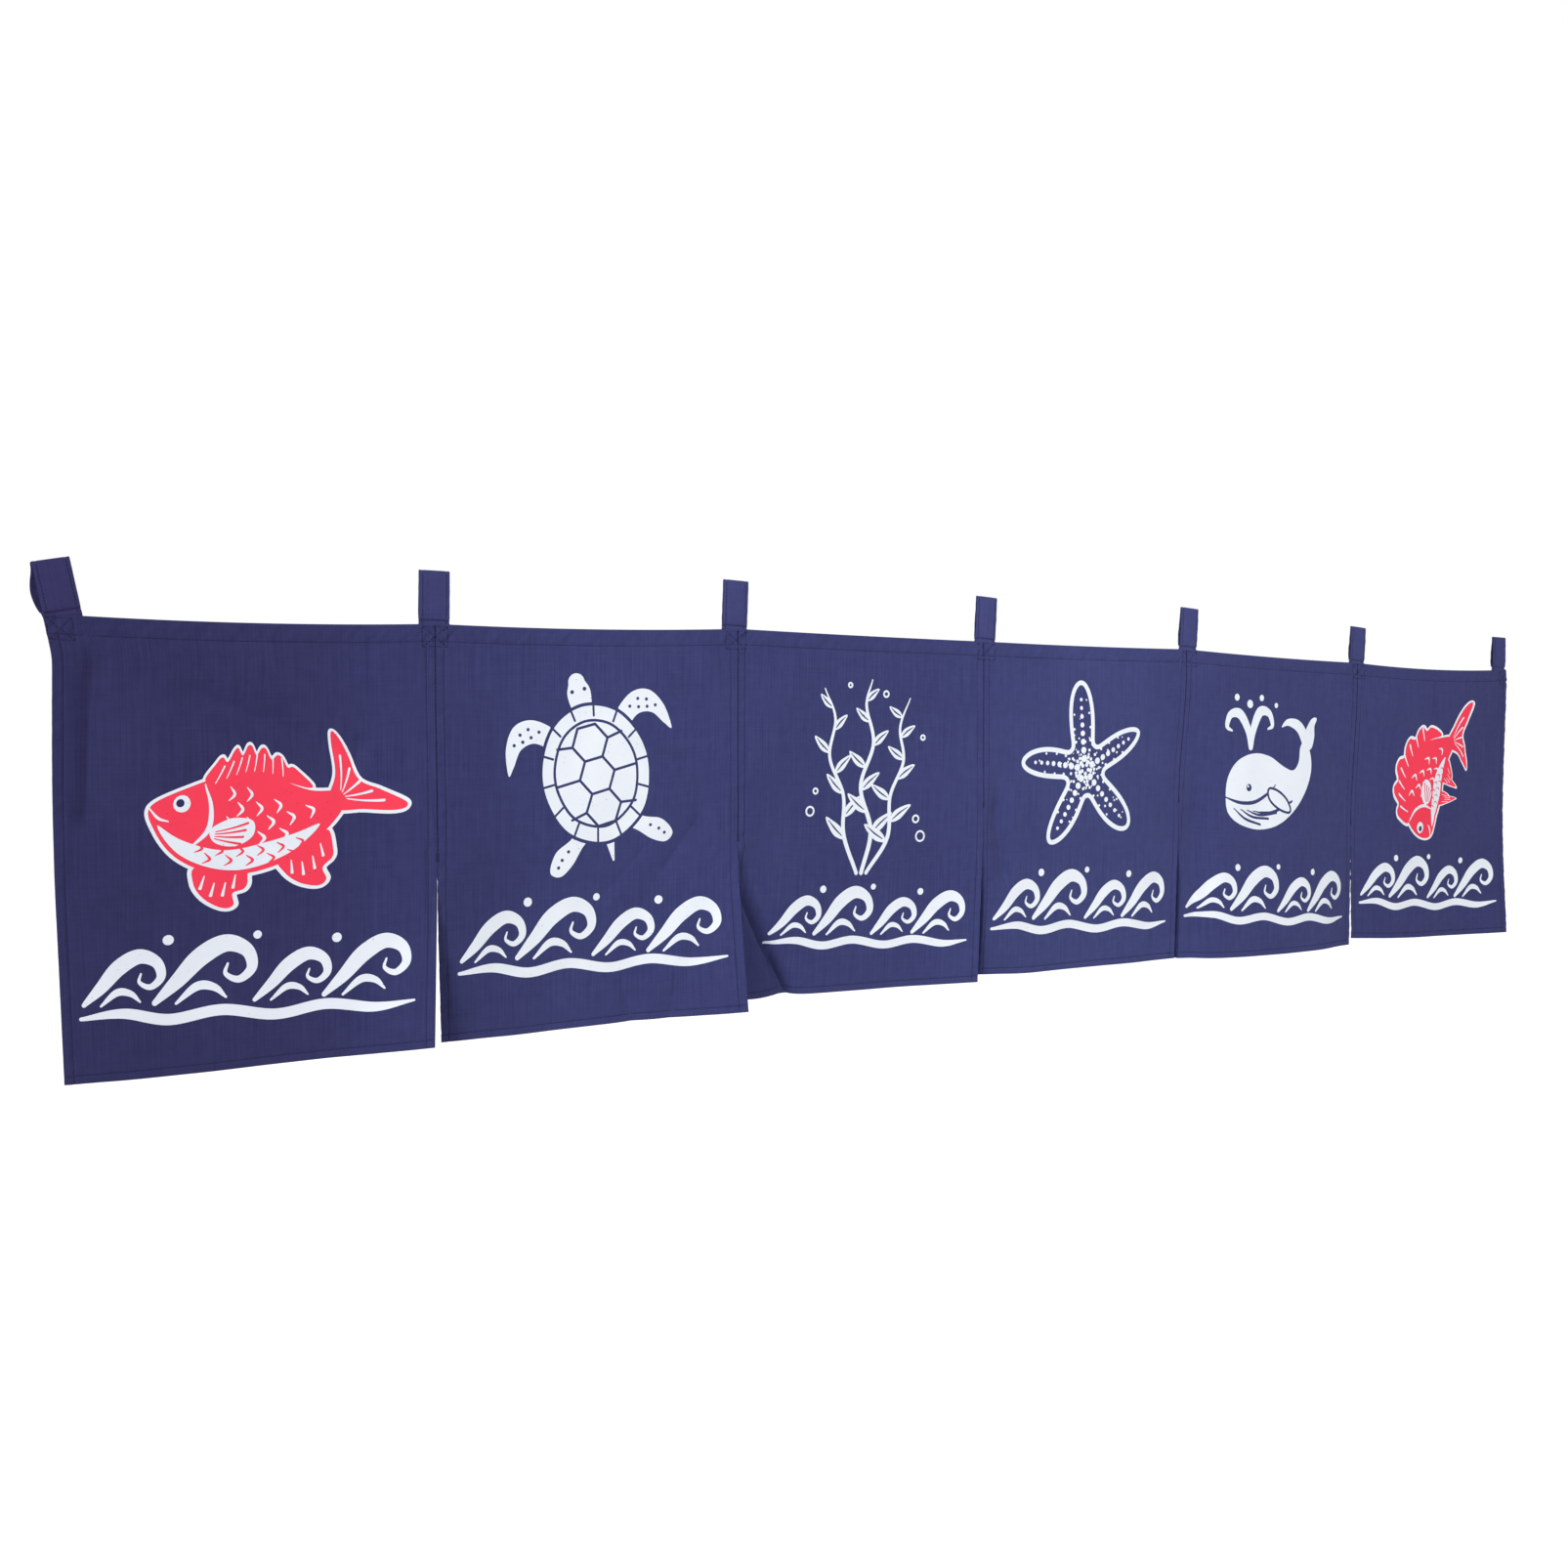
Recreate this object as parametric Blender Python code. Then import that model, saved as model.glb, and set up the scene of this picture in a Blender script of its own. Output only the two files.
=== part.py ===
"""A noren: a short shop curtain of six hemmed cloth panels, sewn edge to edge down to a little past
half their drop, and hung from seven strap loops. Each panel is one sheet of cloth in the shape in
which it hangs, and each loop is one folded strap whose end is sewn to the back of the header.

Metres, +Z up, +X along the curtain from left to right as it is looked at, the front towards -Y.
The origin is on the line of the rod, at mid width, at the top of the middle loop."""

import math
from collections import namedtuple

import bmesh
import bpy
from mathutils import Vector
from mathutils.geometry import interpolate_bezier

# ---- Cloth, as cut and hemmed
PANEL_WIDTH = 0.300
PANEL_COUNT = 6
CLOTH = 0.0010  # one layer of cloth
HEM = 0.0016  # a turned side or bottom hem, which thickens the back of the cloth
HEADER = 0.0022  # the header, folded over and stitched
HEADER_HEIGHT = 0.016
SIDE_HEM = 0.009
FOOT_HEM = 0.008
HEM_STEP = 0.0015  # the slope from a hem's thickness to the single cloth
GAP = 0.0003  # between two pieces that meet
FIELD_CELLS = 14  # faces between the hems, both across and down

# ---- Strap loops
STRAP_WIDTH = 0.0272
STRAP = 0.0012
TAIL = 0.020  # sewn to the header's back, below the header's top
FOLD_RADIUS = 0.0013  # of the strap's middle, where it is folded over at the top
FOLD_POINTS = 5  # inside the fold
LEG_POINTS = 8  # of the curve from a loop's foot to its fold
LEG_TOP_SHARE = 0.25  # of the height, over which a leg comes straight into the fold

# The cloth's middle lies in front of the rod line by the strap, the header and their gap.
CLOTH_Y = -(STRAP + GAP + HEADER - CLOTH / 2)

# ---- The seven seam lines, from the left outer edge to the right one.
# sewn: the seam's length from the header's top, 0 on the outer edges. back and shift: how far the
# seam's foot hangs back (+Y) and to the right. left_reach, right_reach: how far into each panel
# that trough dies away. flare, flare_length: how far an outer corner is drawn to the right, and
# the drop over which it comes back.
Seam = namedtuple("Seam", "sewn back shift left_reach right_reach flare flare_length")
SEAMS = (
    Seam(0.000, 0.000, 0.0000, 0.060, 0.060, -0.0055, 0.040),
    Seam(0.204, 0.000, 0.0022, 0.060, 0.060, 0.0000, 0.040),
    Seam(0.203, 0.000, 0.0000, 0.060, 0.060, 0.0000, 0.040),
    Seam(0.176, 0.000, 0.0000, 0.060, 0.060, 0.0000, 0.040),
    Seam(0.178, 0.011, -0.0015, 0.060, 0.045, 0.0000, 0.040),
    Seam(0.204, 0.010, 0.0000, 0.060, 0.060, 0.0000, 0.040),
    Seam(0.000, 0.000, 0.0000, 0.060, 0.060, 0.0085, 0.200),
)

# ---- The seven strap loops, one on each seam line. top_z: the loop's top, on a slightly bowed rod
# line. height: from the header's top. aside: the loop's middle from the seam line. lean: degrees to
# the right. front and back: how far the handles that bulge the two legs stand out. bulge_at: the
# share of the height where they do. twist: how far the back leg slips to the left, as a share of
# how far it stands back.
Loop = namedtuple("Loop", "top_z height aside lean front back bulge_at twist")
LOOPS = (
    Loop(-0.0144, 0.0430, 0.0078, -12.0, 0.0012, 0.0150, 0.55, 0.60),
    Loop(-0.0069, 0.0462, 0.0002, 0.0, 0.0014, 0.0108, 0.15, -0.25),
    Loop(0.0009, 0.0469, -0.0022, 1.8, 0.0014, 0.0108, 0.20, -0.50),
    Loop(0.0000, 0.0480, 0.0042, 2.8, 0.0014, 0.0110, 0.15, -0.65),
    Loop(0.0017, 0.0486, 0.0052, 3.2, 0.0014, 0.0118, 0.12, -0.60),
    Loop(-0.0089, 0.0458, 0.0026, 3.5, 0.0014, 0.0112, 0.15, -0.85),
    Loop(-0.0117, 0.0442, -0.0050, 0.8, 0.0014, 0.0118, 0.12, -0.85),
)

# ---- The six panels. left_drop, right_drop: header's top to hem along the cloth, at each side.
# arch: how much shorter the middle is. sag: of the header's top between its two loops. belly: how
# far the middle of the hem hangs back.
Panel = namedtuple("Panel", "left_drop right_drop arch sag belly")
PANELS = (
    Panel(0.3622, 0.3618, 0.0008, 0.0032, 0.011),
    Panel(0.3628, 0.3660, 0.0000, 0.0026, 0.018),
    Panel(0.3600, 0.3600, 0.0000, 0.0006, 0.015),
    Panel(0.3562, 0.3590, 0.0005, 0.0010, 0.008),
    Panel(0.3608, 0.3568, 0.0000, 0.0014, -0.004),
    Panel(0.3508, 0.3568, 0.0020, 0.0042, 0.012),
)

# ---- The free lower corners. Each swings about a line from its edge, starts below the header's
# top, to the hem, reach away from the edge. back and shift: how far the corner itself hangs back
# and to the right. bend: how softly it turns, as a share of the swing.
Corner = namedtuple("Corner", "panel side starts reach back shift bend")
CORNERS = (
    Corner(1, "left", 0.100, 0.120, 0.012, 0.010, 0.50),
    Corner(1, "right", 0.204, 0.100, -0.020, -0.009, 0.25),
    Corner(2, "left", 0.204, 0.120, 0.010, 0.007, 0.50),
    Corner(2, "right", 0.203, 0.075, -0.034, -0.008, 0.30),
    Corner(3, "left", 0.203, 0.090, 0.008, 0.006, 0.50),
    Corner(3, "right", 0.176, 0.090, -0.003, -0.010, 0.20),
    Corner(4, "left", 0.176, 0.080, 0.016, 0.002, 0.50),
    Corner(4, "right", 0.178, 0.090, -0.006, -0.013, 0.20),
    Corner(5, "left", 0.178, 0.060, 0.006, -0.005, 0.50),
    Corner(5, "right", 0.204, 0.110, 0.003, 0.001, 0.50),
    Corner(6, "left", 0.204, 0.150, 0.008, 0.012, 0.30),
    Corner(6, "right", 0.200, 0.090, -0.006, 0.000, 0.50),
)

# ---- Soft troughs, each along a straight line from a top point to a foot point, both given as
# distances across from the panel's left edge and down from its header's top. spread: how far each
# side takes to die away. crease: how round its bottom is, small for a sharp crease.
Fold = namedtuple(
    "Fold", "panel top_across top_down foot_across foot_down top_depth foot_depth spread crease"
)
FOLDS = (
    Fold(1, 0.028, 0.030, 0.026, 0.150, 0.0035, 0.0015, 0.010, 0.012),
    Fold(1, 0.070, 0.045, 0.255, 0.125, 0.0030, 0.0030, 0.018, 0.022),
    Fold(1, 0.020, 0.215, 0.090, 0.290, 0.0020, 0.0020, 0.015, 0.020),
    Fold(2, 0.262, 0.170, 0.200, 0.262, 0.0035, 0.0025, 0.012, 0.014),
    Fold(2, 0.060, 0.215, 0.110, 0.255, 0.0020, 0.0020, 0.014, 0.018),
    Fold(2, 0.190, 0.310, 0.196, 0.364, 0.0010, 0.0025, 0.008, 0.010),
    Fold(3, 0.004, 0.205, 0.062, 0.360, 0.0060, 0.0170, 0.030, 0.003),
    Fold(4, 0.016, 0.150, 0.026, 0.245, 0.0045, 0.0030, 0.009, 0.010),
    Fold(5, 0.020, 0.150, 0.026, 0.340, 0.0050, 0.0040, 0.010, 0.012),
    Fold(5, 0.215, 0.060, 0.270, 0.120, 0.0020, 0.0025, 0.014, 0.018),
    Fold(6, 0.240, 0.080, 0.150, 0.210, 0.0020, 0.0020, 0.020, 0.025),
)

HELD_FLAT = 0.004  # below the header, where the cloth still lies flat
FREE_BY = 0.050  # below that, the drop in which folds reach their depth
SEAM_HOLD = 0.020  # how far from a sewn seam the cloth is held flat
SEAM_LETS_GO = 0.030  # the drop below a seam's foot in which the edge comes free
BELLY_TOP = 0.050
STEP = 0.004  # the length of cloth followed at a time

NAVY = (0.043, 0.045, 0.130, 1.0)
NAVY_STRAP = (0.048, 0.050, 0.140, 1.0)
CLOTH_ROUGHNESS = 0.85
SHARP_OVER = 50  # degrees


def smooth(share):
    """0 to 1 with level ends."""
    share = min(max(share, 0.0), 1.0)
    return share * share * (3 - 2 * share)


def seam_x(line):
    return (line - PANEL_COUNT / 2) * PANEL_WIDTH


def header_z(line):
    """The header's top at a loop."""
    return LOOPS[line].top_z - LOOPS[line].height


def top_z(panel, across):
    """The header's top edge, which sags between two loops."""
    share = across / PANEL_WIDTH
    straight = header_z(panel - 1) * (1 - share) + header_z(panel) * share
    return straight - PANELS[panel - 1].sag * 4 * share * (1 - share)


def drop_at(panel, across):
    """The length of the cloth from the header's top to the hem."""
    row = PANELS[panel - 1]
    share = across / PANEL_WIDTH
    straight = row.left_drop * (1 - share) + row.right_drop * share
    return straight - row.arch * 4 * share * (1 - share)


def seam_offset(line, down):
    """(shift, back) of a seam line, or of an outer edge, at a distance down from the header's top."""
    row = SEAMS[line]
    shift = row.flare * (1 - smooth(down / row.flare_length))
    if not row.sewn:
        return shift, 0.0
    rise = smooth((down - HEADER_HEIGHT) / (row.sewn - HEADER_HEIGHT))
    return shift + row.shift * rise, row.back * rise


def hinge(turn, bend):
    """0 before a bend line, then rising evenly to 1 after a soft start of length bend."""
    if turn <= 0:
        return 0.0
    eased = turn * turn / (2 * bend) if turn < bend else turn - bend / 2
    return eased / (1 - bend / 2)


def corner_swing(panel, across, down):
    """(shift, back) that the free lower corners add."""
    drop = drop_at(panel, across)
    shift = back = 0.0
    for row in CORNERS:
        if row.panel != panel:
            continue
        edge = across if row.side == "left" else PANEL_WIDTH - across
        turn = (down - row.starts) / (drop - row.starts) - edge / row.reach
        bent = hinge(turn, row.bend)
        shift += row.shift * bent
        back += row.back * bent
    return shift, back


def fold_depth(panel, across, down):
    """How far the panel's troughs lie back at a point of the cloth."""
    depth = 0.0
    for row in FOLDS:
        if row.panel != panel:
            continue
        run = Vector((row.foot_across - row.top_across, row.foot_down - row.top_down))
        away = Vector((across - row.top_across, down - row.top_down))
        share = min(max(away.dot(run) / run.length_squared, 0.0), 1.0)
        distance = (away - run * share).length
        along = row.top_depth + (row.foot_depth - row.top_depth) * share
        depth += along * math.exp(-(math.hypot(distance, row.crease) - row.crease) / row.spread)
    return depth


def freedom(panel, across, down):
    """0 where the cloth is held flat, at the header and along sewn seams, and 1 where it is free."""
    free = smooth((down - HEADER_HEIGHT - HELD_FLAT) / FREE_BY)
    for line, edge in ((panel - 1, across), (panel, PANEL_WIDTH - across)):
        sewn = SEAMS[line].sewn
        if sewn:
            loose = smooth((down - sewn) / SEAM_LETS_GO)
            free *= loose + (1 - loose) * (1 - math.exp(-((edge / SEAM_HOLD) ** 2)))
    return free


def plan(panel, across, down):
    """(x, y) of the cloth's middle, seen from above."""
    left, right = SEAMS[panel - 1], SEAMS[panel]
    left_shift, left_back = seam_offset(panel - 1, down)
    right_shift, right_back = seam_offset(panel, down)
    share = across / PANEL_WIDTH
    x = seam_x(panel - 1) + across + left_shift * (1 - share) + right_shift * share
    y = left_back * math.exp(-((across / left.right_reach) ** 2))
    y += right_back * math.exp(-(((PANEL_WIDTH - across) / right.left_reach) ** 2))
    hang = smooth((down - BELLY_TOP) / (drop_at(panel, across) - BELLY_TOP))
    belly = PANELS[panel - 1].belly * hang * math.sin(math.pi * share)
    y += (belly + fold_depth(panel, across, down)) * freedom(panel, across, down)
    corner_shift, corner_back = corner_swing(panel, across, down)
    return x + corner_shift, CLOTH_Y + y + corner_back


def hang_column(panel, across, downs):
    """Points of the cloth's middle at the distances downs from the header's top. The thread
    neither stretches nor shrinks: where it leans or folds, its foot rises."""
    x, y = plan(panel, across, 0.0)
    z = top_z(panel, across)
    reached = 0.0
    points = []
    for goal in downs:
        steps = math.ceil((goal - reached) / STEP)
        for step in range(steps):
            length = (goal - reached) / (steps - step)
            next_x, next_y = plan(panel, across, reached + length)
            lean = math.hypot(next_x - x, next_y - y)
            z -= math.sqrt(length * length - lean * lean)
            x, y, reached = next_x, next_y, reached + length
        points.append(Vector((x, y, z)))
    return points


def grid_lines(length, near_hem, far_hem, start=0.0):
    """Places of the grid's lines between start and length, with a step beside each hem."""
    first = near_hem + HEM_STEP
    last = length - far_hem - HEM_STEP
    inner = [first + (last - first) * i / FIELD_CELLS for i in range(FIELD_CELLS + 1)]
    return [start, near_hem, *inner, length - far_hem, length - start]


def thickness(panel, across, down):
    """How thick the cloth is with the layers of its header and hems."""
    if down <= HEADER_HEIGHT:
        return HEADER
    edge = min(across, PANEL_WIDTH - across)
    foot = drop_at(panel, across) - down
    return HEM if edge <= SIDE_HEM or foot <= FOOT_HEM else CLOTH


def square_to(points, column, row, at_seam):
    """The cloth's unit normal at a grid point, towards the back. Along a sewn seam, and for a
    little below it, the normal has no sideways part, so that two panels meet on one plane."""
    line = points[column]
    beside = (points[max(column - 1, 0)][row], points[min(column + 1, len(points) - 1)][row])
    above, below = line[max(row - 1, 0)], line[min(row + 1, len(line) - 1)]
    normal = (beside[1] - beside[0]).cross(below - above)
    if at_seam:
        normal.x = 0
    return normal.normalized()


def panel_shape(panel):
    """A panel as a closed sheet: its front on the hanging cloth, its back one thickness behind."""
    acrosses = grid_lines(PANEL_WIDTH, SIDE_HEM, SIDE_HEM, GAP / 2)
    downs = [grid_lines(drop_at(panel, across), HEADER_HEIGHT, FOOT_HEM) for across in acrosses]
    middle = [hang_column(panel, *places) for places in zip(acrosses, downs)]
    edge_lines = {0: panel - 1, len(acrosses) - 1: panel}
    shape = bmesh.new()
    front, back = [], []
    for column, across in enumerate(acrosses):
        front.append([])
        back.append([])
        for row, down in enumerate(downs[column]):
            sewn = SEAMS[edge_lines[column]].sewn if column in edge_lines else 0
            at_seam = 0 < sewn and down <= sewn + SEAM_LETS_GO
            normal = square_to(middle, column, row, at_seam)
            place = middle[column][row]
            behind = thickness(panel, across, down) - CLOTH / 2
            front[-1].append(shape.verts.new(place - normal * CLOTH / 2))
            back[-1].append(shape.verts.new(place + normal * behind))
    for grid in (front, back):
        for near, far in zip(grid, grid[1:]):
            for row in range(len(near) - 1):
                shape.faces.new((near[row], near[row + 1], far[row + 1], far[row]))
    rims = [
        (front[0], back[0]),
        (front[-1], back[-1]),
        ([line[0] for line in front], [line[0] for line in back]),
        ([line[-1] for line in front], [line[-1] for line in back]),
    ]
    for ahead, behind in rims:
        for i in range(len(ahead) - 1):
            shape.faces.new((ahead[i], ahead[i + 1], behind[i + 1], behind[i]))
    bmesh.ops.recalc_face_normals(shape, faces=shape.faces)
    return shape


def strap_leg(line, bulge, side):
    """The middle of one leg from foot to fold, as (y, height over the header's top)."""
    height = LOOPS[line].height
    end = height - STRAP / 2 - FOLD_RADIUS
    knots = (
        (STRAP / 2, 0),
        (bulge, LOOPS[line].bulge_at * height),
        (FOLD_RADIUS, end - LEG_TOP_SHARE * height),
        (FOLD_RADIUS, end),
    )
    return interpolate_bezier(*[Vector((side * y, z)) for y, z in knots], LEG_POINTS)


def strap_outlines(line):
    """(inner, outer) outlines of a loop seen from its side, as (y, height over the header's top),
    from the foot of the front leg over the fold to the foot of the back leg."""
    row = LOOPS[line]
    middle = [point.xy for point in strap_leg(line, row.front, -1)]
    for i in range(1, FOLD_POINTS + 1):
        turn = math.pi * i / (FOLD_POINTS + 1)
        lift = Vector((-math.cos(turn), math.sin(turn))) * FOLD_RADIUS
        middle.append(Vector((0, row.height - STRAP / 2 - FOLD_RADIUS)) + lift)
    middle += [point.xy for point in reversed(strap_leg(line, row.back, 1))]
    inner, outer = [], []
    for i, place in enumerate(middle):
        along = (middle[min(i + 1, len(middle) - 1)] - middle[max(i - 1, 0)]).normalized()
        inward = Vector((along.y, -along.x)) * STRAP / 2
        inner.append(place + inward)
        outer.append(place - inward)
    inner[0] = inner[-1] = Vector((0, 0))
    outer[0], outer[-1] = Vector((-STRAP, 0)), Vector((STRAP, 0))
    return inner, outer


def loop_shape(line):
    """A strap loop: two legs that meet in a fold over the rod, and the tail that is sewn on."""
    inner, outer = strap_outlines(line)
    shape = bmesh.new()

    def point(place):
        slip = LOOPS[line].twist * max(place.x, 0)
        return shape.verts.new((-STRAP_WIDTH / 2 - slip, place.x, place.y))

    inside = [point(place) for place in inner[:-1]]
    inside.append(inside[0])
    outside = [point(place) for place in outer]
    tail = [point(Vector((y, -TAIL))) for y in (-STRAP, 0, STRAP)]
    for i in range(len(outside) - 1):
        shape.faces.new((outside[i], outside[i + 1], inside[i + 1], inside[i]))
    shape.faces.new((tail[0], tail[1], inside[0], outside[0]))
    shape.faces.new((tail[1], tail[2], outside[-1], inside[0]))
    side = bmesh.ops.extrude_face_region(shape, geom=shape.faces[:])
    moved = [item for item in side["geom"] if isinstance(item, bmesh.types.BMVert)]
    bmesh.ops.translate(shape, verts=moved, vec=(STRAP_WIDTH, 0, 0))
    bmesh.ops.recalc_face_normals(shape, faces=shape.faces)
    return shape


def make_material(name, colour, roughness):
    material = bpy.data.materials.new(name)
    material.use_nodes = True
    shader = material.node_tree.nodes["Principled BSDF"]
    shader.inputs["Base Color"].default_value = colour
    shader.inputs["Roughness"].default_value = roughness
    shader.inputs["Metallic"].default_value = 0.0
    material.diffuse_color = colour
    return material


def add_object(name, shape, material, parent, place):
    """One named object, made from a shape whose points are given from the object's own place."""
    mesh = bpy.data.meshes.new(name)
    shape.to_mesh(mesh)
    shape.free()
    mesh.shade_smooth()
    mesh.set_sharp_from_angle(angle=math.radians(SHARP_OVER))
    mesh.materials.append(material)
    thing = bpy.data.objects.new(name, mesh)
    thing.location = place
    thing.parent = parent
    bpy.context.scene.collection.objects.link(thing)
    return thing


def main():
    for old in list(bpy.data.objects):
        bpy.data.objects.remove(old, do_unlink=True)
    rod_line = bpy.data.objects.new("rod_line", None)
    bpy.context.scene.collection.objects.link(rod_line)
    cloth = make_material("navy_cloth", NAVY, CLOTH_ROUGHNESS)
    strap = make_material("navy_strap", NAVY_STRAP, CLOTH_ROUGHNESS)
    for panel in range(1, PANEL_COUNT + 1):
        place = Vector((seam_x(panel - 1), CLOTH_Y, header_z(panel - 1)))
        shape = panel_shape(panel)
        bmesh.ops.translate(shape, verts=shape.verts, vec=-place)
        add_object(f"panel_{panel}", shape, cloth, rod_line, place)
    for line in range(PANEL_COUNT + 1):
        place = Vector((seam_x(line) + LOOPS[line].aside, 0, header_z(line)))
        loop = add_object(f"loop_{line + 1}", loop_shape(line), strap, rod_line, place)
        loop.rotation_euler.y = math.radians(LOOPS[line].lean)


main()
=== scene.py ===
# %% [markdown]
# # A noren, the short cloth curtain of a shop door
# Six hemmed panels of navy cotton are sewn edge to edge down to a little past half their drop, and
# seven flat strap loops carry them. The solids are loaded as a fixed frame. Here each of them gets a
# finer sheet on the same folds, with its hems, stitches, weave and print.
# %% Load the frame
import math
from collections import namedtuple

import bpy
import numpy as np
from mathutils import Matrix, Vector
from mathutils.geometry import delaunay_2d_cdt, interpolate_bezier


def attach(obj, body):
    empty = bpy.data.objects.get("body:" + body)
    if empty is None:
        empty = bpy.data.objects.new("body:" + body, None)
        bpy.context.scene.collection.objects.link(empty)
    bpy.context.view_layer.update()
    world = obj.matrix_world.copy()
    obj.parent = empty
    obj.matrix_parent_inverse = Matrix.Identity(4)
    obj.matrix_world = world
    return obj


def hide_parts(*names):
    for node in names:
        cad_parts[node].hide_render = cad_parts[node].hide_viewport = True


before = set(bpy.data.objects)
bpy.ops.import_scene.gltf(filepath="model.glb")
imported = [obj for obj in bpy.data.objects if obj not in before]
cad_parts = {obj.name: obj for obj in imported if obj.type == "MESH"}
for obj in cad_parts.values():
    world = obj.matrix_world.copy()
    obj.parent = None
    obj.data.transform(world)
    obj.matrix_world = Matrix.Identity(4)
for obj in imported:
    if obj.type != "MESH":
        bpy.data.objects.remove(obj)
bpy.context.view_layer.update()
scene = bpy.context.scene
print("solids:", len(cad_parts))

# %% [markdown]
# ## The camera
# The curtain was seen from the left of its middle, at the height of the cloth, with the picture's
# sides kept upright. A camera turned about the vertical only gives that, and a small vertical shift
# stands in for the photographer's crop. It could be tilted down instead, but the straps would then
# lean together.
# %% Camera
CAMERA_PLACE = (-1.0508, -1.3070, -0.155)
CAMERA_TURN = math.radians(31.62)  # from straight ahead towards the curtain's far end
IMAGE_SIDE = 1605
HORIZON = 760  # the pixel row at the camera's own height
camera_data = bpy.data.cameras.new("camera")
camera_data.sensor_width = 36
camera_data.lens = 36
camera_data.shift_y = (HORIZON - IMAGE_SIDE / 2) / IMAGE_SIDE
camera = bpy.data.objects.new("camera", camera_data)
camera.location = CAMERA_PLACE
ahead = Vector((math.sin(CAMERA_TURN), math.cos(CAMERA_TURN), 0))
camera.rotation_euler = ahead.to_track_quat("-Z", "Y").to_euler()
scene.collection.objects.link(camera)
scene.camera = camera
print("camera to the middle of the curtain:", round(Vector(CAMERA_PLACE).length, 2), "m")

# %% [markdown]
# ## Light
# A shop photo of cloth has soft light from everywhere and a broad lamp in front, so that folds show
# as gentle bands and not as hard shadows. A white world gives the even part. The front softbox
# stands high and right of the middle. A second one, far out on the camera's side, rakes across the
# cloth: it shades the upright folds, hems and seams, and darkens the slits behind a panel's edge. It
# stands well back, because a near lamp would light the near end of the curtain far more than the
# far one. A third stands behind the cloth, so that its plain back can be seen too, and doesn't reach
# the front. A ray from the camera that meets nothing sees a whiter world.
# %% World and softboxes
SKY_SEEN = 1.0
SKY_LIGHT = 0.215
CLOTH_MIDDLE = (0.1, 0.0, -0.2)
Softbox = namedtuple("Softbox", "place side watts")
SOFTBOXES = (
    Softbox((0.60, -2.3, 1.15), 0.9, 42),
    Softbox((-5.5, -4.0, 1.00), 1.5, 300),
    Softbox((0.90, 2.8, 1.00), 1.2, 50),
)
scene.view_settings.view_transform = "Standard"
world = bpy.data.worlds.new("white_room")
world.use_nodes = True
scene.world = world
sky = world.node_tree.nodes["Background"]
sky.inputs["Color"].default_value = (1.0, 1.0, 1.0, 1.0)
path = world.node_tree.nodes.new("ShaderNodeLightPath")
strength = world.node_tree.nodes.new("ShaderNodeMapRange")
strength.inputs["To Min"].default_value = SKY_LIGHT
strength.inputs["To Max"].default_value = SKY_SEEN
world.node_tree.links.new(path.outputs["Is Camera Ray"], strength.inputs["Value"])
world.node_tree.links.new(strength.outputs["Result"], sky.inputs["Strength"])

for row in SOFTBOXES:
    lamp = bpy.data.lights.new("softbox", "AREA")
    lamp.size = row.side
    lamp.energy = row.watts
    softbox = bpy.data.objects.new("softbox", lamp)
    softbox.location = row.place
    towards = Vector(CLOTH_MIDDLE) - Vector(row.place)
    softbox.rotation_euler = towards.to_track_quat("-Z", "Y").to_euler()
    scene.collection.objects.link(softbox)
    print("softbox to the cloth:", round(towards.length, 2), "m")

# %% [markdown]
# ## Cut sizes
# These are the sizes that the solids were made from. They are repeated here because a finer sheet
# that stands for a solid has to hang on exactly the same lines. Everything below is in metres.
# %% Cloth and straps as cut
PANEL_WIDTH = 0.300
PANEL_COUNT = 6
CLOTH = 0.0010
HEM = 0.0016
HEADER = 0.0022
HEADER_HEIGHT = 0.016
SIDE_HEM = 0.009
FOOT_HEM = 0.008
HEM_STEP = 0.0015
STRAP_WIDTH = 0.0272
STRAP = 0.0012
TAIL = 0.020
FOLD_RADIUS = 0.0013
LEG_TOP_SHARE = 0.25
GAP = 0.0003
CLOTH_Y = -(STRAP + GAP + HEADER - CLOTH / 2)

# %% [markdown]
# ## How the cloth hangs
# Cloth hangs by where it is held: along the header, along the sewn seams, and nowhere below them.
# So its shape is a few short tables, one row for each seam, loop, panel, corner and trough. A cloth
# simulation could drape it too, but it wouldn't drape it in these particular folds.
# %% Seams, loops, panels, corners and troughs
# sewn: the seam's length. back, shift: how far its foot hangs back and to the right. left_reach,
# right_reach: where that trough dies away. flare, flare_length: how an outer corner is drawn out.
Seam = namedtuple("Seam", "sewn back shift left_reach right_reach flare flare_length")
SEAMS = (
    Seam(0.000, 0.000, 0.0000, 0.060, 0.060, -0.0055, 0.040),
    Seam(0.204, 0.000, 0.0022, 0.060, 0.060, 0.0000, 0.040),
    Seam(0.203, 0.000, 0.0000, 0.060, 0.060, 0.0000, 0.040),
    Seam(0.176, 0.000, 0.0000, 0.060, 0.060, 0.0000, 0.040),
    Seam(0.178, 0.011, -0.0015, 0.060, 0.045, 0.0000, 0.040),
    Seam(0.204, 0.010, 0.0000, 0.060, 0.060, 0.0000, 0.040),
    Seam(0.000, 0.000, 0.0000, 0.060, 0.060, 0.0085, 0.200),
)
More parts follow.
